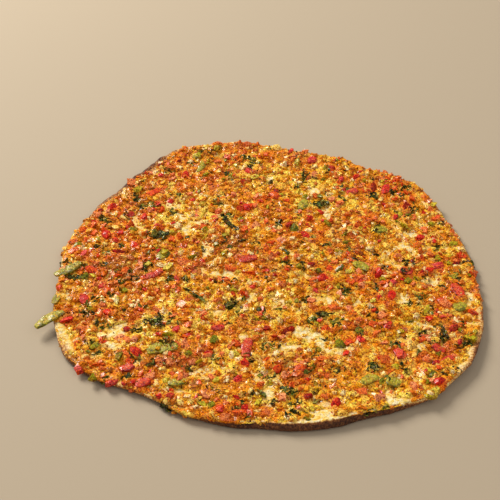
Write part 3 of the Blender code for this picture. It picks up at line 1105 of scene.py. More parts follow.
@dataclass
class Spread:
    """The baked paste that holds the topping together: its relief, thin places and meaty places."""

    form: Form
    pieces: Sequence[Piece]
    depth: float = 1.75 * MM
    bare: Array = field(init=False)
    bare_round: Array = field(init=False)
    open: Array = field(init=False)
    meat: Array = field(init=False)
    cover: Array = field(init=False)
    blush: Array = field(init=False)
    herb: Array = field(init=False)
    crust: Array = field(init=False)
    claimed: Array = field(init=False)
    top: Array = field(init=False)
    mounds: Array = field(init=False)
    relief: Array = field(init=False)

    def __post_init__(self) -> None:
        """Works out the fields."""
        x, y = self.form.raster.x, self.form.raster.y
        thin = np.zeros(x.shape)
        for patch in BARE_PATCHES:
            thin = np.maximum(thin, patch.reach(x, y))
        openness = np.clip(drift(OPEN_GROUND, x, y), 0, 1)
        net = waves(x, y, 8 * MM, 11, 3)
        ragged = waves(x, y, 4.5 * MM, 23, 3)
        fine = waves(x, y, 2.2 * MM, 29, 2)
        self.bare = smooth_step(0.34, 0.6, thin + 0.45 * ragged + 0.25 * fine)
        small_gaps = smooth_step(0.5, 0.8, np.abs(net) * 0.3 + ragged * 0.6 + 0.75 * (openness - 0.3))
        self.bare = np.maximum(self.bare, 0.8 * small_gaps)
        crossing = np.abs(waves(x, y, 17 * MM, 47, 2)) + 0.12 * fine
        veined = smooth_step(-0.15, 0.35, waves(x, y, 24 * MM, 53, 2) + openness)
        self.bare = np.maximum(self.bare, 0.9 * ((1 - smooth_step(0.03, 0.13, crossing)) * veined))
        self.bare_round = softened(self.bare, 5)
        swollen = np.clip(self.form.topping_top - self.depth - self.form.bread_top - 0.1 * MM, 0, None)
        self.crust = self.form.bread_top + softened(self.bare, 4) * swollen
        self.open = np.clip(0.28 + 0.85 * openness + 0.3 * net + 0.5 * thin, 0, 1)
        self.meat = np.clip(drift(MEATY_GROUND, x, y), 0, 1)
        self.open *= 1 - 0.6 * self.meat
        away, value = crumbs(x + 1.2 * MM * ragged, y + 1.2 * MM * net, 5.2 * MM, 5)
        small, _ = crumbs(x, y, 2.4 * MM, 31)
        domes = np.sqrt(np.clip(1 - (away * 1.25) ** 2, 0, 1)) * (0.3 + value)
        self.relief = domes * 1.3 * MM + np.clip(1 - small, 0, 1) * 0.4 * MM + 0.45 * MM * net
        self.mounds = np.zeros(x.shape)
        self.blush = 0.4 * smooth_step(0.15, 0.7, waves(x, y, 15 * MM, 37, 2))
        self.herb = 0.6 * smooth_step(0.2, 0.7, waves(x, y, 12 * MM, 43, 2))
        self.claimed = np.zeros(x.shape)
        for spot in (*RED_SPOTS, *SALMON_SPOTS, *PARSLEY_SPOTS, *GREEN_SPOTS, *PALE_SPOTS):
            radius = 0.35 * (spot.length + spot.width) * MM
            self.form.raster.heap(self.claimed, spot.x * MM, spot.y * MM, radius + 1.5 * MM, 1.3)
        self.cover = np.full(x.shape, -1.0)
        for piece in self.pieces:
            self.lay(piece)

    def lay(self, piece: Piece) -> None:
        """Notes where a large piece lies and lets the paste rise against it.

        Args:
            piece: The piece's solid.
        """
        raster = self.form.raster
        tree = Form.tree_of(piece)
        points = points_of(piece)
        low = ((points.min(0)[:2] + raster.half) / raster.cell).astype(int)
        high = ((points.max(0)[:2] + raster.half) / raster.cell).astype(int) + 2
        for row in range(low[1], high[1]):
            for column in range(low[0], high[0]):
                x, y = raster.x[row, column], raster.y[row, column]
                hit = tree.ray_cast(Vector((x, y, CLEAR)), Vector((0, 0, -1)))[0]
                if hit:
                    self.cover[row, column] = hit.z
        juice = self.blush if piece.name.startswith("red") else self.herb
        for x, y in points[:: max(1, len(points) // 30), :2]:
            raster.heap(self.mounds, x, y, 3.2 * MM, 1.0 * MM)
            raster.heap(juice, x, y, 4.0 * MM, 0.8)

    def settle(self) -> None:
        """Finishes the surface once the larger bits have pushed their mounds into it."""
        body = self.form.topping_top - self.depth + self.relief + self.mounds
        sunk = self.crust - 0.6 * MM
        self.top = body * (1 - self.bare) + sunk * self.bare

    def stain(self, piece: Piece, *names: str) -> None:
        """Stores some of the fields on a piece's points."""
        x, y, _ = points_of(piece).T
        for name in names:
            set_values(piece, name, self.form.raster.read(getattr(self, name), x, y))

    def height(self, x: Array, y: Array) -> Array:
        """Height of whatever is on top: a large piece, the paste or, where it is bare, the bread.

        Args:
            x, y: Places, in metres.

        Returns:
            The heights.
        """
        direction, radius = polar(x, y)
        rim = self.form.edge_radius(direction) - 1.6 * MM
        over = np.clip(radius - rim, 0, None)
        inward = np.minimum(radius, rim) / np.maximum(radius, 1 * MM)
        x, y = x * inward, y * inward
        highest = np.maximum(np.maximum(self.top, self.crust), self.cover)
        return self.form.raster.read(highest, x, y) - 0.8 * over


# ---- The flatbread ----


@dataclass
class Flatbread:
    """The baked dough: blistered above, browned and charred along its rim and below."""

    form: Form
    spread: Spread
    faces_across: int = 230
    lip: float = 0.9 * MM
    lean: float = 2.2 * MM
    blister: float = 0.8 * MM
    curl: float = 1.5 * MM
    flattened: float = 0.75

    def blisters(self, x: Array, y: Array) -> Array:
        """Relief of the upper side, in metres."""
        away, value = crumbs(x, y, 7 * MM, 71)
        bubbles = np.clip(1 - (away * 1.5) ** 2, 0, 1) * smooth_step(0.45, 0.9, value)
        return self.blister * (bubbles + 0.6 * waves(x, y, 4 * MM, 61, 3))

    def charred(self, direction: Array) -> Array:
        """Where the rim's side is charred and dark all the way up, partly as painted shade, and leans
        inward, 0 to 1.
        """
        return np.clip(drift(CHARRED_AND_SHADED_SIDE, *around(direction, self.form.rim_radius(direction))), 0, 1)

    def sides(self, x: Array, y: Array, charred: Array | float) -> tuple[Array, Array]:
        """Heights of the lower surface, flatter where the side is charred, and of the upper."""
        return self.form.below_bread(x, y) * (1 - self.flattened * charred), self.form.on_bread(x, y)

    def level(self, points: Array, charred: Array | float = 0.0) -> Array:
        """How far up the bread each point is, from 0 at the lower surface to 1 at the upper."""
        x, y, z = points.T
        low, high = self.sides(x, y, charred)
        return np.clip((z - low) / np.maximum(high - low, 0.5 * MM), 0, 1)

    def inset(self, points: Array) -> Array:
        """How far inside the rim each point is."""
        direction, radius = polar(*points[:, :2].T)
        return self.form.rim_radius(direction) - radius

    def ring(self, inset: float, level: float, ripple: float) -> Callable[[Array], Array]:
        """One ring round the rim.

        Args:
            inset: How far inside the rim, in metres.
            level: 0 at the lower surface and 1 at the upper.
            ripple: How uneven the ring is, in metres.

        Returns:
            A function from directions to points.
        """

        def place(direction: Array) -> Array:
            """The ring's points."""
            uneven = ripple * waves(*around(direction, COLLAR), 5 * MM, 83 + int(10 * level), 3)
            charred = self.charred(direction)
            radius = self.form.rim_radius(direction) - inset - np.abs(uneven) * 0.9
            radius -= self.lean * charred * smooth_step(0.2, 0.9, level)
            x, y = around(direction, radius)
            low, high = self.sides(x, y, charred)
            return np.stack([x, y, low + level * (high - low) + 0.5 * uneven * (0.2 < level)], axis=1)

        return place

    def baked(self, points: Array) -> Array:
        """How far the dough is baked.

        Args:
            points: Points of the bread.

        Returns:
            From 0, pale, to 1, charred, for each point.
        """
        x, y, _ = points.T
        charred = self.charred(np.arctan2(y, x))
        inset = np.clip(self.inset(points), 0, None)
        mottled = waves(x, y, 9 * MM, 91, 4)
        ragged = waves(x, y, 3.5 * MM, 93, 2)
        # The side wall darkens below a border that rises to the top where the side is charred: browned
        # crust, and where charred partly painted shade.
        border = 0.5 + 0.42 * charred + 0.06 * ragged
        side = 1 - smooth_step(border - 0.08, border + 0.08, self.level(points, charred))
        side *= 0.62 + 0.2 * charred + 0.14 * mottled
        browned = 0.42 + 0.35 * drift(BROWNED_RIM, x, y) - 0.3 * drift(PALE_RIM, x, y)
        fade = 1.8 * MM * (1 + 2.2 * np.clip(drift(BROWNED_RIM, x, y), 0, 1))
        rim = np.exp(-inset / fade) * (browned + 0.2 * mottled + 0.22 * ragged)
        inner = np.where(inset < 2 * fade, side, 0.42 * self.under(points))
        return np.clip(np.maximum(inner, rim), 0, 1)

    def under(self, points: Array) -> Array:
        """Which points lie on the underside, 0 to 1."""
        low = 1 - smooth_step(0.05, 0.3, self.level(points))
        return low * smooth_step(2 * MM, 9 * MM, self.inset(points))

    def build(self) -> None:
        """Models and dresses the bread."""
        bread = round_sheet("bread_crust", self.faces_across)
        direction, share = polar(*points_of(bread)[:, :2].T)
        ragged = waves(*around(direction, COLLAR), 7 * MM, 57, 3)
        lip = self.lip + self.charred(direction) * (self.lean + 0.7 * MM * ragged)
        x, y = around(direction, share * (self.form.rim_radius(direction) - lip))
        z = self.form.raster.read(self.spread.crust, x, y)
        z += self.blisters(x, y) * smooth_step(0, 3 * MM, (1 - share) * 0.145)
        z += 0.35 * MM * ragged * smooth_step(0.96, 1.0, share)
        z += 0.45 * MM * waves(x, y, 3 * MM, 67, 3) * smooth_step(0.93, 0.985, share)
        z += self.curl * self.form.curled(direction) * (1 + 0.4 * ragged) * smooth_step(0.968, 0.995, share)
        set_points(bread, np.stack([x, y, z], axis=1))
        rows = [(0.25, 0.86, 0.25), (0.0, 0.62, 0.35), (0.1, 0.4, 0.4), (0.6, 0.16, 0.3), (1.6, 0.0, 0.0)]
        rows += [(inset, 0.0, 0.0) for inset in (3.5, 6, 9, 12, 16, 20, 24, 32, 44, 60, 80, 100, 120)]
        grow_rings(bread, [self.ring(inset * MM, level, ripple * MM) for inset, level, ripple in rows])
        points = points_of(bread)
        set_values(bread, "bake", self.baked(points))
        set_values(bread, "under", self.under(points))
        open_share = self.form.raster.read(softened(self.spread.bare, 10), points[:, 0], points[:, 1])
        inward = 0.15 + 0.85 * smooth_step(0.5 * MM, 4 * MM, self.inset(points))
        set_values(bread, "oil", np.clip(1.15 - 1.1 * open_share, 0, 1) * inward)
        shade_round(bread)
        bread.data.materials.append(DoughFinish().material())
        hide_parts("flatbread")
        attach(bread, "root")
        LOG.info("%s: %d faces", bread.name, len(bread.data.polygons))


# ---- The paste ----


@dataclass
class Paste:
    """The fine paste, with a crumbly relief that sinks into the bread at its thin places."""

    form: Form
    spread: Spread
    faces_across: int = 296
    sink: float = 0.8 * MM

    def ring(self, inset: float) -> Callable[[Array], Array]:
        """One ring under the paste, inside the bread.

        Args:
            inset: How far inside the topping's edge, in metres.

        Returns:
            A function from directions to points.
        """

        def place(direction: Array) -> Array:
            """The ring's points."""
            x, y = around(direction, self.form.edge_radius(direction) - inset)
            return np.stack([x, y, self.form.on_bread(x, y) - self.sink], axis=1)

        return place

    def build(self) -> None:
        """Models and dresses the paste."""
        paste = round_sheet("mince_paste", self.faces_across)
        direction, share = polar(*points_of(paste)[:, :2].T)
        collar = around(direction, COLLAR)
        edge = self.form.edge_radius(direction) - np.clip(waves(*collar, 5 * MM, 41, 3), 0, None) * 1.6 * MM
        lumps = 1.3 * MM * waves(*collar, 9 * MM, 45, 2)
        edge += self.form.hanging(direction) * (self.form.rim_radius(direction) - 0.1 * MM + lumps - edge)
        x, y = around(direction, share * edge)
        floor = self.form.on_bread(x, y) - 0.35 * MM
        taper = smooth_step(0.0, 1.8 * MM, (1 - share) * edge)
        z = floor + (self.form.raster.read(self.spread.top, x, y) - floor) * np.sqrt(taper)
        set_points(paste, np.stack([x, y, z], axis=1))
        grow_rings(paste, [self.ring(inset * MM) for inset in (1.0, 6, 12, 18, 26)])
        points = points_of(paste)
        relief = self.form.raster.read(self.spread.relief + self.spread.mounds, points[:, 0], points[:, 1])
        # lift: how high the relief stands, which the finish turns into painted shade low down and, where the
        # spread is thin, a painted highlight high up.
        set_values(paste, "lift", np.clip((relief + 0.2 * MM) / (1.9 * MM), 0, 1))
        self.spread.stain(paste, "meat", "open", "blush", "herb")
        shade_round(paste)
        paste.data.materials.append(PasteFinish().material())
        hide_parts("meat_topping")
        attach(paste, "root")
        LOG.info("%s: %d faces", paste.name, len(paste.data.polygons))


# ---- Chopped bits ----


class Cutting(Enum):
    """The ways that an ingredient was cut, each with its own base shapes."""

    CRUMB = "crumb"
    GRAIN = "grain"
    DICE = "dice"
    STRIP = "strip"
    LEAF = "leaf"


@dataclass
class Shape:
    """One base shape of unit size: its points and its triangles."""

    points: Array
    triangles: Array

    @classmethod
    def taken(cls, piece: Piece) -> Shape:
        """Takes a shape, scaled to fit a cube of side 1, from a piece, which is then removed.

        Args:
            piece: The modelled piece.

        Returns:
            The shape.
        """
        finish_shape(piece, "triangles", "TRIANGULATE")
        points = points_of(piece)
        points -= (points.min(0) + points.max(0)) / 2
        points /= np.abs(points).max() * 2
        corners = np.empty(len(piece.data.polygons) * 3, dtype=np.int64)
        piece.data.polygons.foreach_get("vertices", corners)
        bpy.data.objects.remove(piece, do_unlink=True)
        return cls(points, corners.reshape(-1, 3))


@dataclass
class Pile:
    """Copies of base shapes for one mesh, with the numbers that their material reads."""

    points: list[Array] = field(default_factory=list)
    triangles: list[Array] = field(default_factory=list)
    values: dict[str, list[Array]] = field(default_factory=dict)
    count: int = 0

    def add(self, shape: Shape, copies: Array, **values: Array) -> None:
        """Adds copies of a shape.

        Args:
            shape: The shape.
            copies: For each copy, its points.
            **values: For each copy, one number for each point.
        """
        starts = self.count + np.arange(len(copies))[:, None, None] * len(shape.points)
        self.points.append(copies.reshape(-1, 3))
        self.triangles.append((shape.triangles[None] + starts).reshape(-1, 3))
        self.count += len(self.points[-1])
        for name, numbers in values.items():
            self.values.setdefault(name, []).append(numbers.ravel())

    def joined(self, name: str) -> Piece:
        """Makes one piece of it all.

        Args:
            name: The piece's name.

        Returns:
            The piece.
        """
        triangles = np.concatenate(self.triangles)
        mesh = bpy.data.meshes.new(name)
        mesh.vertices.add(self.count)
        mesh.vertices.foreach_set("co", np.concatenate(self.points).ravel())
        mesh.loops.add(triangles.size)
        mesh.loops.foreach_set("vertex_index", triangles.ravel().astype(np.int32))
        mesh.polygons.add(len(triangles))
        mesh.polygons.foreach_set("loop_start", np.arange(0, triangles.size, 3, dtype=np.int32))
        mesh.update(calc_edges=True)
        mesh.validate()
        piece = linked(name, mesh)
        for key, numbers in self.values.items():
            set_values(piece, key, np.concatenate(numbers))
        return piece


def roughen(amount: float, seed: int) -> None:
    """Moves every point of the active piece at random, up to an amount."""
    with editing(bpy.context.object):
        bpy.ops.transform.vertex_random(offset=amount, uniform=0.6, normal=0.6, seed=seed)


def soft_cube(smoothness: float) -> Piece:
    """A new cube, each face split in four and swollen by a share."""
    bpy.ops.mesh.primitive_cube_add(size=1.0)
    with editing(bpy.context.object):
        bpy.ops.mesh.subdivide(number_cuts=1, smoothness=smoothness)
    return bpy.context.object


def base_shape(cutting: Cutting, seed: int) -> Shape:
    """Models one base shape.

    Args:
        cutting: How the ingredient was cut.
        seed: Which of its shapes.

    Returns:
        The shape.
    """
    bpy.ops.object.select_all(action="DESELECT")
    if cutting is Cutting.CRUMB:
        bpy.ops.mesh.primitive_ico_sphere_add(subdivisions=2, radius=0.5)
        roughen(0.13, seed)
        finish_shape(bpy.context.object, "fewer_faces", "DECIMATE", ratio=0.6)
    elif cutting is Cutting.GRAIN:
        bpy.ops.mesh.primitive_ico_sphere_add(subdivisions=1, radius=0.5)
        roughen(0.12, seed)
    elif cutting is Cutting.DICE:
        soft_cube(0.35)
        roughen(0.13, seed)
    elif cutting is Cutting.STRIP:
        piece = soft_cube(0.3)
        points = points_of(piece)
        points[:, 2] -= 0.5 * points[:, 0] ** 2
        points[:, 1] *= 1 - 0.9 * points[:, 0] ** 2
        set_points(piece, points)
        roughen(0.07, seed)
    else:
        bpy.ops.mesh.primitive_grid_add(x_subdivisions=3, y_subdivisions=2, size=1.0)
        piece = bpy.context.object
        points = points_of(piece)
        points[:, 1] *= 1.1 - 3.2 * points[:, 0] ** 2
        points[:, 2] = 0.16 * np.sin(5 * points[:, 0] + seed) + 0.5 * np.abs(points[:, 1]) * 0.6
        set_points(piece, points)
        roughen(0.08, seed)
        finish_shape(piece, "leaf_thickness", "SOLIDIFY", thickness=0.1, offset=0.0)
    return Shape.taken(bpy.context.object)


@dataclass(frozen=True)
class Spot:
    """A bit, or a tight clump of bits, that lies in one particular place."""

    x: float
    y: float
    length: float
    width: float
    turn: float = 0.0


def spots(*rows: tuple[float, ...]) -> tuple[Spot, ...]:
    """Spots from rows of x, y, length, width, and turn if any."""
    return tuple(Spot(*row) for row in rows)


@dataclass
class Ingredient:
    """One chopped ingredient: how it is cut, how much there is of it, and where it gathers."""

    name: str
    finish: MorselFinish
    cutting: Cutting
    count: int
    sizes: Span
    flatness: Span
    narrowness: Span
    proud: Span
    tilt: float
    seed: int
    slot: str
    spots: tuple[Spot, ...] = ()
    gathers: tuple[Patch, ...] = ()
    even: float = 1.0
    on_bare: float = 0.25
    on_open: float = 1.0
    on_meat: float = 0.0
    on_pieces: float = 0.0
    gives_way: float = 0.8
    mound: float = 0.0
    clump: int = 1
    clump_size: float = 0.0
    shapes: int = 7
    crease: float = 55.0
    drifting: float = 0.0
    blush: float = 0.0
    herb: float = 0.0


@dataclass
class Bits:
    """Where the bits of one ingredient lie."""

    x: Array
    y: Array
    length: Array
    width: Array
    thick: Array
    turn: Array
    proud: Array
    tint: Array


@dataclass
class Scattering:
    """Scatters one ingredient over the bread as one joined mesh."""

    form: Form
    spread: Spread
    ingredient: Ingredient

    def share(self, x: Array, y: Array) -> Array:
        """How much of the ingredient falls on each place.

        Args:
            x, y: Places, in metres.

        Returns:
            The shares.
        """
        what, raster = self.ingredient, self.form.raster
        bare = np.clip(1.7 * raster.read(self.spread.bare_round, x, y), 0, 1)
        share = what.even + drift(what.gathers, x, y)
        share *= 1 + what.on_meat * raster.read(self.spread.meat, x, y)
        share *= 1 + (what.on_open - 1) * raster.read(self.spread.open, x, y)
        share *= 0.5 + 1.0 * (waves(x, y, 13 * MM, what.seed + 7, 2) * 0.5 + 0.5)
        share *= what.on_bare * bare + (1 - bare)
        share *= 1 - what.gives_way * np.clip(raster.read(self.spread.claimed, x, y), 0, 1)
        covered = raster.read((self.spread.cover > 0).astype(float), x, y)
        return share * (1 - (1 - what.on_pieces) * np.clip(2 * covered, 0, 1))

    def middles(self, random: np.random.Generator) -> tuple[Array, Array]:
        """Chooses where single bits and clumps lie, thicker where the ingredient gathers.

        Args:
            random: The source of chance.

        Returns:
            Their places along X and Y.
        """
        what = self.ingredient
        wanted = what.count // what.clump
        tries = wanted * 10
        direction = random.uniform(-np.pi, np.pi, tries)
        reach = self.form.edge_radius(direction) + (1.5 * self.form.hanging(direction) - 0.7) * MM
        x, y = around(direction, np.sqrt(random.uniform(0, 1, tries)) * reach)
        share = self.share(x, y)
        for spot in what.spots:
            away = np.hypot(x - spot.x * MM, y - spot.y * MM)
            share = np.where(away < 0.7 * max(spot.length, spot.width) * MM, 0, share)
        kept = np.flatnonzero(random.uniform(0, share.max() * 0.75, tries) < share)[:wanted]
        return x[kept], y[kept]

    def places(self) -> Bits:
        """Chooses the bits' places, sizes and turns.

        Returns:
            The bits.
        """
        what = self.ingredient
        random = np.random.default_rng(what.seed)
        x, y = self.middles(random)
        if what.clump > 1:
            size = (what.clump_size, 0.7 * what.clump_size)
            clumps = [Spot(*place, *size, 40 * n) for n, place in enumerate(zip(x / MM, y / MM))]
            x, y = self.clumped(clumps + list(what.spots), random)
        count = len(x)
        size = (random.uniform(0, 1, count) ** 1.4 * (what.sizes[1] - what.sizes[0]) + what.sizes[0]) * MM
        width = size * random.uniform(*what.narrowness, count)
        turn = random.uniform(-np.pi, np.pi, count)
        if what.clump == 1 and what.spots:
            laid = [[s.x, s.y, s.length, s.width, math.radians(s.turn)] for s in what.spots]
            laid = np.transpose(laid) * [[MM], [MM], [MM * 1.1], [MM * 1.1], [1]]
            x, y, size, width, turn = np.concatenate([(x, y, size, width, turn), laid], axis=1)
            count = len(x)
        ripple = waves(x, y, 11 * MM, what.seed + 3, 2) * 0.8 + 0.45
        ripple += 0.6 * self.form.raster.read(self.spread.meat, x, y)
        ripple -= 0.3 * self.form.raster.read(self.spread.open, x, y)
        tint = np.clip((1 - what.drifting) * random.uniform(0, 1, count) + what.drifting * ripple, 0, 1)
        thick = np.minimum(size, width * 1.3) * random.uniform(*what.flatness, count)
        return Bits(x, y, size, width, thick, turn, random.uniform(*what.proud, count) * MM, tint)

    def clumped(self, clumps: Sequence[Spot], random: np.random.Generator) -> tuple[Array, Array]:
        """Strews bits over clumps.

        Args:
            clumps: The clumps.
            random: The source of chance.

        Returns:
            The bits' places along X and Y.
        """
        x, y = [], []
        usual = self.ingredient.clump_size**2 * 0.7
        for clump in clumps:
            count = max(3, int(round(self.ingredient.clump * clump.length * clump.width / usual)))
            along, across = random.normal(0, 0.3, (2, count)) * [[clump.length * MM], [clump.width * MM]]
            turn = math.radians(clump.turn)
            x.append(clump.x * MM + along * math.cos(turn) - across * math.sin(turn))
            y.append(clump.y * MM + along * math.sin(turn) + across * math.cos(turn))
        x, y = np.concatenate(x), np.concatenate(y)
        direction, radius = polar(x, y)
        inside = radius < self.form.edge_radius(direction) - 0.5 * MM
        return x[inside], y[inside]

    def press(self, bits: Bits) -> None:
        """Lets the paste rise round the larger bits and take up their juice.

        Args:
            bits: The bits' places.
        """
        what, spread = self.ingredient, self.spread
        heaps = [(spread.mounds, 1.0, what.mound * MM)]
        heaps += [(spread.blush, 1.5, what.blush), (spread.herb, 1.4, what.herb)]
        for x, y, length, width in zip(bits.x, bits.y, bits.length, bits.width):
            radius = 0.55 * (length + width) * 0.5 + 1.2 * MM
            for values, wider, height in heaps:
                if height:
                    self.form.raster.heap(values, x, y, wider * radius, height)

    def build(self, bits: Bits) -> None:
        """Models and dresses the bits as one piece.

        Args:
            bits: The bits' places.
        """
        what = self.ingredient
        random = np.random.default_rng(what.seed + 1)
        count = len(bits.x)
        shapes = [base_shape(what.cutting, what.seed + n) for n in range(what.shapes)]
        ground = self.spread.height(bits.x, bits.y)
        tip = np.radians(what.tilt) * random.normal(0, 1, (2, count))
        turns = rotations(*tip, bits.turn)
        pile = Pile()
        for number, shape in enumerate(shapes):
            mine = np.arange(number, count, len(shapes))
            size = np.stack([bits.length[mine], bits.width[mine], bits.thick[mine]], axis=1)[:, None]
            phase = random.uniform(0, 6.28, (len(mine), 1, 3))
            local = shape.points[None] * size
            local = local + 0.09 * size * np.sin(5.0 * shape.points[None][..., [1, 2, 0]] + phase)
            points = np.einsum("nij,nkj->nki", turns[mine], local)
            level = ground[mine] + bits.proud[mine] - bits.thick[mine] / 2
            points += np.stack([bits.x[mine], bits.y[mine], level], axis=1)[:, None]
            lowest = self.form.below_bread(points[..., 0], points[..., 1]) + 0.7 * MM
            points[..., 2] = np.maximum(points[..., 2], lowest)
            # lift: how far each point stands above the paste, which the finish darkens low down as painted
            # shade.
            lift = np.clip((points[..., 2] - ground[mine][:, None] + 0.3 * MM) / (1.4 * MM), 0, 1)
            pile.add(shape, points, tint=np.repeat(bits.tint[mine], len(shape.points)), lift=lift)
        piece = pile.joined(what.name)
        if what.finish.takes:
            self.spread.stain(piece, "blush", "herb")
        only(piece)
        bpy.ops.object.shade_smooth_by_angle(angle=math.radians(what.crease))
        piece.data.materials.append(what.finish.material())
        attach(piece, "root")
        LOG.info("%s: %d bits, %d faces", piece.name, count, len(piece.data.polygons))


def rotations(tip_x: Array, tip_y: Array, turn: Array) -> Array:
    """Rotation matrices for many bits, from angles in radians.

    Args:
        tip_x: Tips about X.
        tip_y: Tips about Y.
        turn: Turns about Z.

    Returns:
        One 3 by 3 matrix for each bit.
    """
    zero, one = np.zeros_like(turn), np.ones_like(turn)
    sx, cx, sy, cy = np.sin(tip_x), np.cos(tip_x), np.sin(tip_y), np.cos(tip_y)
    sz, cz = np.sin(turn), np.cos(turn)
    about_x = np.stack([one, zero, zero, zero, cx, -sx, zero, sx, cx], axis=1).reshape(-1, 3, 3)
    about_y = np.stack([cy, zero, sy, zero, one, zero, -sy, zero, cy], axis=1).reshape(-1, 3, 3)
    about_z = np.stack([cz, -sz, zero, sz, cz, zero, zero, zero, one], axis=1).reshape(-1, 3, 3)
    return about_x @ about_y @ about_z


# Stretches of the edge where the topping hangs over the rim.
HANGING_EDGE = patches(
    (-128, -62, 14, 22, 30), (-92, -108, 30, 16, -40), (-48, -132, 26, 14, -20), (140, 10, 14, 46),
    (96, 102, 60, 20, -45, 0.8), (-20, 142, 50, 16, 0, 0.8), (-136, 40, 14, 30, -10, 0.9),
    (92, -106, 16, 12, 40, 0.8), (140, -50, 10, 14, -10, 0.7),
)
# Where the plainest bits lie: red pepper, tomato, parsley, green pepper and onion.
RED_SPOTS = spots(
    (-117, 34, 8, 6, -50), (-95, 22, 7, 5, -30), (-105, 14, 11, 5, -12), (-131, 12, 6, 5, 60),
    (-122, -6, 9, 6, -50), (-86, 5, 6, 5, 70), (-63, -14, 6, 5, 60), (-113, -21, 6, 5, 10),
    (-124, -34, 8, 7, 60), (-133, -55, 10, 6, 10), (-107, -46, 6, 5, -40), (27, 34, 8, 7, -30),
    (31, 2, 6, 5, 10), (38, -12, 10, 7, 20), (43, -3, 5, 4, 80), (-2, -61, 5, 4, 30), (111, 31, 7, 5, 10),
    (112, -4, 7, 6, 60), (118, 0, 9, 6, 25), (133, 5, 6, 5, 70), (76, -8, 8, 7, 30), (86, -17, 7, 5, 20),
    (64, -18, 6, 5, 60), (83, -30, 8, 6, 60), (136, -48, 10, 4, 8), (-92, -61, 6, 4, 10),
    (-60, -62, 6, 5, 30), (-53, -67, 5, 4), (-84, -82, 10, 6, -36), (-118, -96, 7, 6, 40),
    (-97, -107, 8, 6, 40), (-61, -119, 8, 5, 80), (-33, -60, 9, 5, 10), (-16, -92, 6, 5, -50),
    (-20, -105, 6, 5, 20), (-30, -128, 8, 5, 75), (-16, -129, 7, 5, 80), (39, -125, 8, 6, 80),
    (48, -84, 5, 4, 80), (53, -79, 7, 5, 80), (12, -63, 10, 5, 40), (22, -119, 6, 5, 20),
    (77, -59, 8, 6, 80), (104, -110, 9, 7, -40), (120, -62, 7, 5, 70), (103, -92, 6, 4, 20),
    (52, -56, 6, 5, 60), (58, -71, 7, 5, -40), (-14, 114, 8, 7, 70), (-14, 67, 9, 8, 80),
    (-5, 75, 7, 5, -30), (31, 54, 8, 6, 80), (40, 62, 7, 6, 60), (37, 127, 7, 6, 10), (53, 118, 8, 6, 80),
    (-116, 65, 8, 6, 80), (-92, 55, 8, 7, -50), (-63, 108, 10, 5, 85), (-73, 76, 7, 6, 40),
    (-127, 49, 5, 4), (83, 92, 12, 5, 75), (92, 88, 11, 6, 80), (105, 66, 12, 6, 62), (71, 105, 7, 5, 80),
    (59, 103, 8, 4, 80), (-83, 106, 6, 4), (-12, -22, 7, 4), (82, -84, 9, 5, 80),
)
SALMON_SPOTS = spots(
    (-134, 38, 6, 5), (-126, 36, 6, 5, 60), (-139, 26, 7, 4, 20), (-60, 21, 6, 5), (-58, 4, 12, 7, 20),
    (-76, -45, 8, 6, 60), (4, 12, 8, 6), (-15, -6, 14, 6, -20), (-26, -2, 9, 4, -20), (53, -43, 7, 6),
    (9, 28, 7, 5, 40), (-8, 45, 7, 6, 50), (-96, -68, 8, 6, 30), (-53, -58, 6, 5), (-53, -75, 8, 6, 70),
    (-74, -104, 7, 5, 20), (-21, -124, 6, 6), (-2, -133, 8, 6), (19, -97, 8, 5, 10), (35, -88, 12, 5, -5),
    (-3, -88, 8, 6, 50), (72, -89, 9, 6, 10), (65, -122, 7, 5), (98, -108, 7, 5, -30), (74, -50, 8, 6, 30),
    (88, -113, 7, 6), (69, -65, 7, 5, 30), (118, -40, 8, 6, -50), (-104, 96, 9, 6), (-86, 84, 12, 7, 40),
    (7, 82, 10, 8, 20), (-37, 62, 7, 5, 60), (38, 108, 8, 5, 75), (-15, 147, 8, 6, 60), (111, 77, 9, 5, 75),
    (-20, 62, 9, 8), (120, 53, 7, 6, 40), (80, 53, 7, 5), (-121, -62, 9, 6, 50), (5, -97, 7, 5, 30),
    (55, -116, 7, 5), (-39, -117, 8, 6, 60), (-27, -136, 6, 5), (67, 44, 6, 5, 50),
)
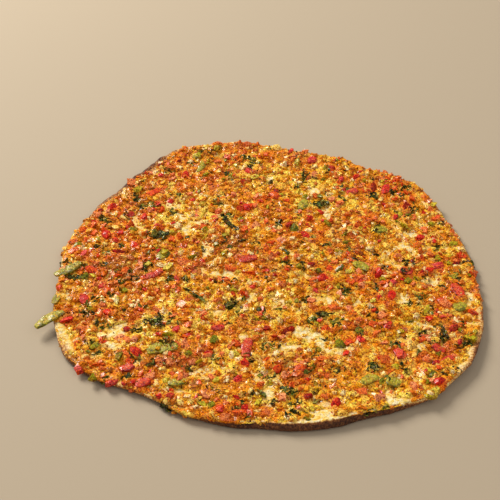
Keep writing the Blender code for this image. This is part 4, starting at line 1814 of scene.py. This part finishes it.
PARSLEY_SPOTS = spots(
    (-80, 33, 13, 6, 10), (-121, 21, 8, 5), (-143, 3, 6, 7), (-135, -12, 11, 5, 15), (-101, -15, 8, 8),
    (-92, -13, 4, 7), (-84, -2, 8, 6, 50), (-69, -17, 5, 6), (-57, -13, 5, 5), (-106, -31, 5, 5),
    (-88, -41, 7, 3, 35), (-122, -47, 8, 4, -20), (-77, -54, 12, 6, 30), (-71, -61, 5, 7), (-64, -54, 4, 6),
    (-17, 27, 7, 4), (-9, 26, 4, 8), (-34, 27, 5, 5), (8, 45, 6, 8), (43, 24, 5, 8), (25, 2, 4, 10),
    (13, 2, 6, 9, 30), (5, -3, 4, 6), (-26, -39, 9, 5, 10), (-5, -44, 5, 9), (-19, -45, 4, 4),
    (52, -27, 5, 9), (36, -50, 10, 5, -15), (28, -54, 6, 6), (46, -57, 6, 4, 50), (35, -68, 11, 2, -5),
    (26, -87, 6, 6), (41, -97, 8, 5), (22, -98, 5, 6), (50, -97, 4, 5), (-33, -113, 7, 4),
    (11, -116, 9, 5, -15), (27, -112, 3, 9), (15, -125, 6, 5), (13, -133, 9, 5, 20), (-21, -129, 4, 7),
    (1, -122, 5, 4), (60, -132, 6, 4), (64, -95, 8, 6), (84, -97, 4, 5), (94, -82, 4, 5), (113, -68, 5, 12),
    (125, -77, 11, 4, 5), (80, -76, 4, 7), (101, -33, 7, 4, 30), (95, -38, 8, 3, 15), (106, -46, 4, 6),
    (74, -22, 4, 9, 20), (109, -12, 4, 7), (131, -8, 5, 5), (121, 20, 4, 5), (119, -23, 4, 6),
    (82, -3, 5, 4), (57, 17, 5, 7), (98, 4, 6, 9), (-108, -58, 9, 4, 20), (-115, -74, 5, 4),
    (-108, -84, 7, 3), (-86, -63, 6, 4), (-86, -86, 6, 4), (-73, -91, 6, 5), (-64, -89, 8, 4, 10),
    (-55, -84, 5, 4), (-102, -105, 5, 7), (-88, -104, 4, 7, 40), (-51, -94, 5, 4), (-118, 50, 5, 10, 40),
    (-99, 78, 4, 11, 10), (-86, 69, 11, 5, -50), (-93, 66, 6, 5), (-66, 82, 6, 4), (-76, 112, 5, 9),
    (-16, 131, 7, 6), (-11, 124, 6, 10), (5, 100, 6, 5), (31, 108, 6, 12, -10), (-37, 76, 6, 8),
    (38, 71, 11, 6, 30), (-31, 54, 7, 8), (-29, 110, 5, 9), (82, 80, 6, 8, 60), (97, 86, 4, 9),
    (108, 88, 6, 7), (110, 65, 4, 12, -15), (81, 43, 5, 7), (57, 77, 5, 9), (103, 79, 5, 8), (10, 69, 7, 5),
    (-47, 139, 5, 6), (26, 24, 5, 6), (-3, -75, 5, 5),
)
GREEN_SPOTS = spots(
    (-142, -35, 9, 6, 80), (-126, -14, 9, 4, 72), (-102, -37, 8, 4, 80), (-73, 14, 8, 6, 80),
    (-70, -3, 7, 5, 60), (-136, 22, 6, 5), (-70, 38, 7, 5, 20), (-36, -72, 7, 4, 80), (45, -75, 8, 6),
    (-8, -121, 9, 6, 75), (-1, -108, 6, 5, 30), (133, 22, 8, 6, 70), (57, 26, 7, 4, 60), (102, 43, 9, 5),
    (47, 84, 8, 5, 70), (25, 122, 10, 4, 80), (-9, 104, 6, 5), (126, 68, 7, 5, 60), (24, 86, 9, 4, 75),
    (36, -5, 8, 4, 40), (96, -15, 6, 5, 50), (128, -12, 6, 4), (105, -45, 9, 4, 75), (56, -6, 5, 4),
    (134, -59, 8, 5, 70), (99, -117, 7, 5, 60), (78, -95, 5, 4), (67, -128, 6, 5), (-95, -86, 8, 4, 75),
    (-108, -103, 8, 5, 60), (-65, -67, 7, 5), (-31, 33, 7, 5), (-45, 33, 7, 5, 80), (20, 40, 9, 6, 75),
    (28, -111, 9, 3, 85), (-53, 10, 6, 4, 20), (22, -137, 6, 4), (-65, -106, 6, 4), (85, -64, 5, 4),
    (-23, -24, 5, 5),
)
PALE_SPOTS = spots(
    (-57, 41, 6, 9, 60), (-98, 36, 6, 4, 60), (-111, 22, 6, 3, 70), (-113, 13, 4, 4), (-91, -24, 4, 4),
    (-97, -35, 8, 3, 80), (-125, -19, 6, 4, 70), (-74, -14, 8, 6, 80), (-69, -46, 7, 5, 80),
    (-144, 18, 5, 4, 80), (-34, 5, 8, 5, 80), (-14, -3, 9, 5), (-40, 38, 6, 5, 80), (-40, 18, 8, 4, 80),
    (44, 10, 6, 4, 80), (6, -29, 8, 7, 40), (-13, -17, 5, 4, 60), (-9, 33, 7, 4, 60), (46, 36, 10, 6, 80),
    (130, 27, 6, 5), (83, 8, 9, 5, 80), (132, 0, 6, 4), (136, -22, 7, 4, 80), (137, -38, 9, 4, 80),
    (92, -29, 7, 3, 80), (107, -17, 5, 4), (108, -48, 4, 4), (58, -4, 5, 4, 80), (-93, -75, 6, 4, 80),
    (-101, -58, 6, 5), (-104, -76, 10, 3), (-125, -84, 8, 4, -20), (-80, -79, 5, 4, 50), (-58, -99, 7, 5),
    (-47, -99, 7, 5), (-38, -97, 6, 5), (-25, -99, 7, 4), (-16, -98, 5, 4), (-27, -106, 5, 3, 80),
    (-13, -115, 6, 4, 60), (3, -114, 4, 4), (-4, -94, 4, 4), (-8, -131, 5, 4), (-19, -88, 5, 4, 50),
    (44, -117, 4, 4), (48, -92, 5, 4), (59, -84, 8, 5, 40), (73, -122, 9, 4, 80), (98, -79, 8, 4, -70),
    (89, -75, 11, 3, 80), (110, -93, 9, 5, 20), (92, -103, 12, 3, -40), (37, -106, 8, 3),
    (-35, 134, 7, 4, 80), (-24, 134, 6, 5, 60), (-18, 119, 8, 6, 30), (-47, 90, 10, 3, 80), (-5, 82, 5, 4),
    (10, 91, 9, 5, 75), (28, 112, 4, 4), (44, 88, 5, 4, 80), (-109, 87, 9, 4, 80), (-102, 63, 4, 4),
    (-87, 110, 7, 4, 80), (-76, 92, 8, 4, 75), (-62, 92, 5, 5), (-71, 83, 4, 4), (-66, 56, 9, 7, 30),
    (-77, 58, 6, 5), (121, 68, 8, 4, 80), (131, 47, 5, 4), (96, 47, 8, 4), (72, 58, 13, 3, -60),
    (89, 94, 5, 4), (88, 77, 10, 3, 65), (-29, 66, 9, 5, 80),
)
# Where the red, the green and the parsley gather.
RED_GROUND = patches(
    (-124, 2, 10, 16, 0, 1.2), (-88, -100, 20, 12, 20, 1.2), (92, -4, 26, 12, 0, 1.2), (112, -82, 18, 14),
    (82, 88, 18, 14, 0, 0.8), (-108, 44, 24, 20, 0, 0.9), (-40, -124, 40, 10, -20, 0.9),
)
GREEN_GROUND = patches(
    (66, -108, 18, 10, 0, 1.6), (96, 42, 18, 14, 0, 1.2), (-44, 118, 22, 14, 0, 0.9),
    (20, -112, 24, 10, 0, 1.2), (100, 74, 18, 18, 0, 0.9),
)
PARSLEY_GROUND = patches(
    (-84, 6, 22, 14, 0, 1.2), (-104, -10, 18, 14, 0, 1.6), (12, -112, 26, 14, 0, 1.6),
    (-20, 26, 14, 12, 0, 1.2), (116, -64, 12, 16, 0, 1.2), (-116, -50, 14, 10, 0, 1.2),
    (-60, -88, 22, 8, 0, 1.4), (104, 74, 16, 12, 0, 1.2), (-112, 12, 20, 16), (62, 100, 26, 12, -30),
)
INGREDIENTS = (
    Ingredient(
        "mince_crumbs", MINCE, Cutting.CRUMB, 1350, (3.2, 7.6), (0.45, 0.75), (0.65, 1.0), (0.4, 1.6), 20,
        101, "meat_topping", on_bare=0.03, on_open=0.25, on_meat=0.8, mound=0.5, drifting=0.65,
    ),
    Ingredient(
        "fine_crumbs", MINCE, Cutting.GRAIN, 1300, (1.4, 3.4), (0.6, 1.0), (0.7, 1.0), (0.3, 1.1), 30,
        151, "meat_topping", on_bare=0.25, on_open=0.6, on_meat=0.8, on_pieces=0.35, drifting=0.65,
    ),
    Ingredient(
        "amber_crumbs", AMBER_CRUMB, Cutting.CRUMB, 880, (2.8, 7.0), (0.5, 0.8), (0.65, 1.0), (0.3, 1.3),
        22, 201, "meat_topping", even=0.8, on_bare=0.6, on_open=2.6, on_pieces=0.2,
    ),
    Ingredient(
        "red_pepper_bits", RED_PEPPER, Cutting.STRIP, 90, (3.0, 6.5), (0.35, 0.6), (0.5, 0.9), (0.5, 1.5),
        16, 251, "red_pepper", spots=RED_SPOTS, gathers=RED_GROUND, even=0.7, on_bare=0.15, mound=0.5,
        blush=1.0,
    ),
    Ingredient(
        "tomato_bits", TOMATO, Cutting.DICE, 340, (3.2, 8.0), (0.4, 0.65), (0.6, 0.95), (0.4, 1.4), 18,
        301, "red_pepper", spots=SALMON_SPOTS, gathers=RED_GROUND, even=1.1, on_bare=0.15, mound=0.45,
        blush=0.6,
    ),
    Ingredient(
        "green_pepper_bits", GREEN_PEPPER, Cutting.STRIP, 110, (3.4, 8.5), (0.35, 0.55), (0.45, 0.9),
        (0.5, 1.4), 18, 351, "green_pepper", spots=GREEN_SPOTS, gathers=GREEN_GROUND, even=1.0,
        on_bare=0.2, mound=0.5, herb=0.8,
    ),
    Ingredient(
        "onion_bits", ONION, Cutting.DICE, 640, (2.4, 7.6), (0.4, 0.65), (0.6, 0.95), (0.5, 1.4), 18, 401,
        "meat_topping", spots=PALE_SPOTS, even=0.9, on_bare=0.7, on_open=1.3, mound=0.3,
    ),
    Ingredient(
        "parsley_flecks", PARSLEY, Cutting.LEAF, 620, (4.0, 8.6), (0.8, 1.2), (0.6, 0.95), (1.0, 2.1), 21,
        451, "parsley", spots=PARSLEY_SPOTS, gathers=PARSLEY_GROUND, even=0.5, on_bare=0.35,
        on_pieces=0.3, clump=6, clump_size=4.8, herb=0.4,
    ),
    Ingredient(
        "spice_specks", SPICE, Cutting.GRAIN, 800, (0.6, 1.7), (0.6, 1.0), (0.7, 1.0), (0.6, 1.4), 20,
        501, "meat_topping", on_bare=0.6, on_open=0.6, on_meat=1.2, on_pieces=0.3,
    ),
)


# ---- Larger pieces ----


@dataclass(frozen=True)
class PieceFinish:
    """The finish of the larger pepper pieces: skin, paler flesh inside, wrinkled by the oven."""

    name: str
    skin: Screen
    flesh: Screen
    edge: Screen
    wet: float

    def material(self) -> Material:
        """Makes the material, which runs from skin to flesh across each piece, with painted shade in tiny
        hollows of the skin.

        Returns:
            The material.
        """
        material, build, shader = new_material(self.name, CRUST_SPECULAR)
        place = build.object_place()
        edge = screen(*self.edge)
        blotch = build.centred(build.noise(place, 2.6 * MM, 3.0, 0.5))
        across = build.plus(build.value_of("across"), build.times(blotch, 2.2))
        stops = ((0.1, *self.edge), (0.3, *self.skin), (0.62, *self.flesh), (0.95, *self.skin))
        tone = build.spread(build.value_of("tint"), 0.0, 1.0, 0.0, 0.35)
        colour = build.blend(tone, build.ramp(across, stops), edge)
        stained = build.spread(build.noise(place, 2.2 * MM, 3.0), 0.5, 0.64, 0.0, 0.3)
        colour = build.blend(stained, colour, screen(238, 150, 12))
        # Painted shade: small dark spots in tiny hollows of the skin.
        pit_shade = build.spread(build.noise(place, 1.2 * MM, 2.0), 0.3, 0.42, 0.35, 0.0)
        colour = build.blend(pit_shade, colour, edge, "MULTIPLY")
        grain = build.effect(Effect.FOOD_GRAIN, Grain_Size=1 / (1.4 * MM))
        lay_oil(build, shader, 0.5, self.wet)
        wrinkles = build.bump(build.noise(place, 1.5 * MM, 3.0, 0.8), 0.6 * MM)
        # Painted light, painted shade in tiny hollows and painted glints, at a lower share.
        build.feed(shader, Base_Color=build.shade_and_glint_speckled(colour, grain, 0.6), Normal=wrinkles)
        soften_light(shader, 0.2, 1.5 * MM)
        return material


@dataclass
class LargePieces:
    """The pieces that have their own nodes, each with a finer, uneven copy of its solid."""

    nodes: dict[str, Piece]
    stem: str
    finish: PieceFinish
    slot: str
    unevenness: float
    broader: float = 0.0

    def build(self) -> None:
        """Models and dresses every piece."""
        material = self.finish.material()
        names = sorted(name for name in self.nodes if name.startswith(self.stem))
        for number, name in enumerate(names):
            self.one(name, number, material)
        LOG.info("%s: %d pieces", self.stem, len(names))

    def one(self, name: str, number: int, material: Material) -> None:
        """Models and dresses one piece.

        Args:
            name: The node's name.
            number: Its number, which seeds its unevenness.
            material: The finish.
        """
        node = self.nodes[name]
        piece = linked(f"{name}_look", node.data.copy())
        piece.data.materials.clear()
        with editing(piece):
            bpy.ops.mesh.remove_doubles(threshold=0.01 * MM)
            bpy.ops.mesh.tris_convert_to_quads()
        finish_shape(piece, "rounding", "SUBSURF", levels=2, render_levels=2)
        points = points_of(piece)
        local = points - points.mean(0)
        _, across, up = self.axes(local)
        side, lift = local @ across, local @ up
        outward = side / np.abs(side).max()
        seed = 700 + 13 * number + 211 * len(self.stem)
        swell = waves(points[:, 0], points[:, 1], 3.6 * MM, seed, 2)
        points = points + np.outer(outward * swell * self.unevenness + side * self.broader, across)
        top = (lift > 0).astype(float)
        points = points + np.outer(top * swell * self.unevenness * 0.6, up)
        set_points(piece, points)
        set_values(piece, "across", np.clip(outward * 0.5 + 0.5, 0, 1))
        tint = float(lattice(np.array([number]), np.array([len(self.stem)]), 77)[0])
        set_values(piece, "tint", np.full(len(points), tint))
        shade_round(piece)
        piece.data.materials.append(material)
        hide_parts(name)
        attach(piece, "root")

    @staticmethod
    def axes(local: Array) -> tuple[Array, Array, Array]:
        """A piece's own directions.

        Args:
            local: The piece's points, from its middle.

        Returns:
            The directions along, across and up.
        """
        _, vectors = np.linalg.eigh(local.T @ local)
        up, across, along = vectors[:, 0], vectors[:, 1], vectors[:, 2]
        if up[2] < 0:
            up = -up
        if across[1] < 0:
            across = -across
        return along, across, up


@dataclass
class Sprigs:
    """The larger parsley leaves: a few crinkled leaflets inside each leaf's solid."""

    nodes: dict[str, Piece]
    leaflets: int = 7

    def build(self) -> None:
        """Models and dresses every leaf."""
        material = PARSLEY.material()
        shapes = [self.leaflet(n) for n in range(4)]
        names = sorted(name for name in self.nodes if name.startswith("parsley_leaf"))
        for number, name in enumerate(names):
            self.one(name, number, shapes, material)
        LOG.info("parsley leaves: %d pieces", len(names))

    @staticmethod
    def leaflet(seed: int) -> Shape:
        """A crinkled leaflet with a toothed edge.

        Args:
            seed: Which leaflet.

        Returns:
            Its shape.
        """
        bpy.ops.object.select_all(action="DESELECT")
        bpy.ops.mesh.primitive_grid_add(x_subdivisions=14, y_subdivisions=10, size=1.0)
        piece = bpy.context.object
        points = points_of(piece)
        x, y = points[:, 0].copy(), points[:, 1].copy()
        teeth = 1 + 0.22 * np.cos(26 * x + seed) * np.abs(2 * y) ** 2
        points[:, 1] = y * (1.0 - 3.4 * (x - 0.05) ** 2) * teeth
        points[:, 2] = 0.12 * np.sin(9 * x + seed) * np.cos(7 * y + 2 * seed) + 0.25 * np.abs(y)
        set_points(piece, points)
        finish_shape(piece, "leaf_thickness", "SOLIDIFY", thickness=0.05, offset=0.0)
        return Shape.taken(piece)

    def one(self, name: str, number: int, shapes: list[Shape], material: Material) -> None:
        """Models and dresses one leaf.

        Args:
            name: The node's name.
            number: Its number, which seeds it.
            shapes: The leaflets to make it from.
            material: The finish.
        """
        random = np.random.default_rng(900 + number)
        points = points_of(self.nodes[name])
        middle = (points.min(0) + points.max(0)) / 2
        along, across, up = LargePieces.axes(points - middle)
        frame = np.stack([along, np.cross(up, along), up], axis=1)
        length = np.ptp((points - middle) @ frame[:, 0])
        width = np.ptp((points - middle) @ frame[:, 1])
        top = ((points - middle) @ up).max()
        is_stem = length > 6 * width
        pile = Pile()
        for n in range(self.leaflets):
            shape = shapes[int(random.integers(len(shapes)))]
            spot = (n + 0.5) / self.leaflets - 0.5
            wide, thick, twist = (1.0, 0.7, 0.6) if is_stem else (0.85, 0.42, 2.4)
            size = np.array([length * 0.34, width * wide, width * thick])
            turn = rotations(*(random.normal(0, 0.22, (3, 1)) * [[1], [1], [twist]]))[0]
            local = shape.points * size @ turn.T
            side = 0.0 if is_stem else random.normal(0, 0.14) * width
            local = local + np.array([spot * length * 0.78, side, top - 0.2 * MM])
            tint = np.full(len(local), random.uniform(0, 0.9))
            pile.add(shape, (middle + local @ frame.T)[None], tint=tint, lift=np.ones(len(local)))
        leaf = pile.joined(f"{name}_look")
        shade_round(leaf)
        leaf.data.materials.append(material)
        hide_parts(name)
        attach(leaf, "root")


# ---- Studio ----


@dataclass
class Studio:
    """A plain pale floor, soft light from behind on the left, and the camera."""

    aim: tuple[float, float, float] = (-12.5 * MM, 22 * MM, 0.0)
    elevation: float = 40.5
    distance: float = 0.672
    view_angle: float = 30.0
    floor_colour: Colour = field(default_factory=lambda: screen(184, 169, 149))

    def build(self) -> None:
        """Sets the floor, the lights and the camera."""
        self.floor()
        self.light("window_light", (-1.1, 1.2, 1.3), 1.0, 45.0, (1.0, 0.95, 0.84))
        self.light("room_light", (1.2, -0.9, 1.6), 1.8, 7.0, (1.0, 0.93, 0.82))
        self.surroundings(0.4)
        self.camera()
        bpy.context.scene.view_settings.view_transform = "Standard"

    def floor(self) -> None:
        """A wide pale floor just under the bread."""
        bpy.ops.object.select_all(action="DESELECT")
        bpy.ops.mesh.primitive_plane_add(size=40.0, location=(0, 0, 0))
        floor = added("floor")
        points = points_of(floor)
        points[:, 2] -= 0.1 * MM
        set_points(floor, points)
        material, _, shader = new_material("pale_floor")
        shader.inputs["Base Color"].default_value = (*self.floor_colour, 1.0)
        shader.inputs["Roughness"].default_value = 0.8
        floor.data.materials.append(material)

    def light(self, name: str, place: tuple[float, ...], size: float, power: float, tint: Colour) -> None:
        """One soft light that faces the bread.

        Args:
            name: The light's name.
            place: Where it stands.
            size: Its width, in metres.
            power: Its power, in watts.
            tint: Its colour.
        """
        lamp = bpy.data.lights.new(name, "AREA")
        lamp.shape = "DISK"
        lamp.size = size
        lamp.energy = power
        lamp.color = tint
        self.stand(name, lamp, Vector(place), Vector(place))

    @staticmethod
    def stand(name: str, data: bpy.types.ID, place: Vector, back: Vector) -> Piece:
        """Puts a lamp or a camera at a place, with its back in a direction."""
        holder = linked(name, data)
        holder.location = place
        holder.rotation_euler = (-back).to_track_quat("-Z", "Y").to_euler()
        return holder

    @staticmethod
    def surroundings(strength: float) -> None:
        """Even pale light from all round.

        Args:
            strength: How strong it is.
        """
        world = bpy.data.worlds.new("studio")
        world.use_nodes = True
        backdrop = world.node_tree.nodes["Background"]
        backdrop.inputs["Color"].default_value = (1.0, 0.94, 0.84, 1.0)
        backdrop.inputs["Strength"].default_value = strength
        bpy.context.scene.world = world

    def camera(self) -> None:
        """The camera, looking down over the near rim."""
        lens = bpy.data.cameras.new("camera")
        lens.sensor_width = 36.0
        lens.lens = 18.0 / math.tan(math.radians(self.view_angle / 2))
        lens.clip_start = 0.01
        tilt = math.radians(self.elevation)
        back = Vector((0, -math.cos(tilt), math.sin(tilt)))
        place = Vector(self.aim) + back * self.distance
        bpy.context.scene.camera = self.stand("camera", lens, place, back)


def main() -> None:
    """Builds the looks in order."""
    logging.basicConfig(level=logging.INFO, format="%(message)s")
    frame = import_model()
    nodes = frame["nodes"]
    form = Form(nodes["flatbread"], nodes["meat_topping"])
    small = [node for name, node in nodes.items() if name not in ("flatbread", "meat_topping")]
    spread = Spread(form, small)
    scatterings = [Scattering(form, spread, what) for what in INGREDIENTS]
    places = [scattering.places() for scattering in scatterings]
    for scattering, bits in zip(scatterings, places):
        scattering.press(bits)
    spread.settle()
    Flatbread(form, spread).build()
    Paste(form, spread).build()
    for scattering, bits in zip(scatterings, places):
        scattering.build(bits)
    green = PieceFinish("green_pepper_slice", (156, 150, 8), (206, 192, 52), (98, 100, 8), wet=0.24)
    red = PieceFinish("red_pepper_piece", (214, 32, 18), (234, 88, 44), (160, 16, 10), wet=0.22)
    LargePieces(nodes, "green_pepper_slice", green, "green_pepper", 0.5 * MM, broader=0.2).build()
    LargePieces(nodes, "red_pepper_piece", red, "red_pepper", 0.6 * MM).build()
    Sprigs(nodes).build()
    Studio().build()


if __name__ == "__main__":
    main()
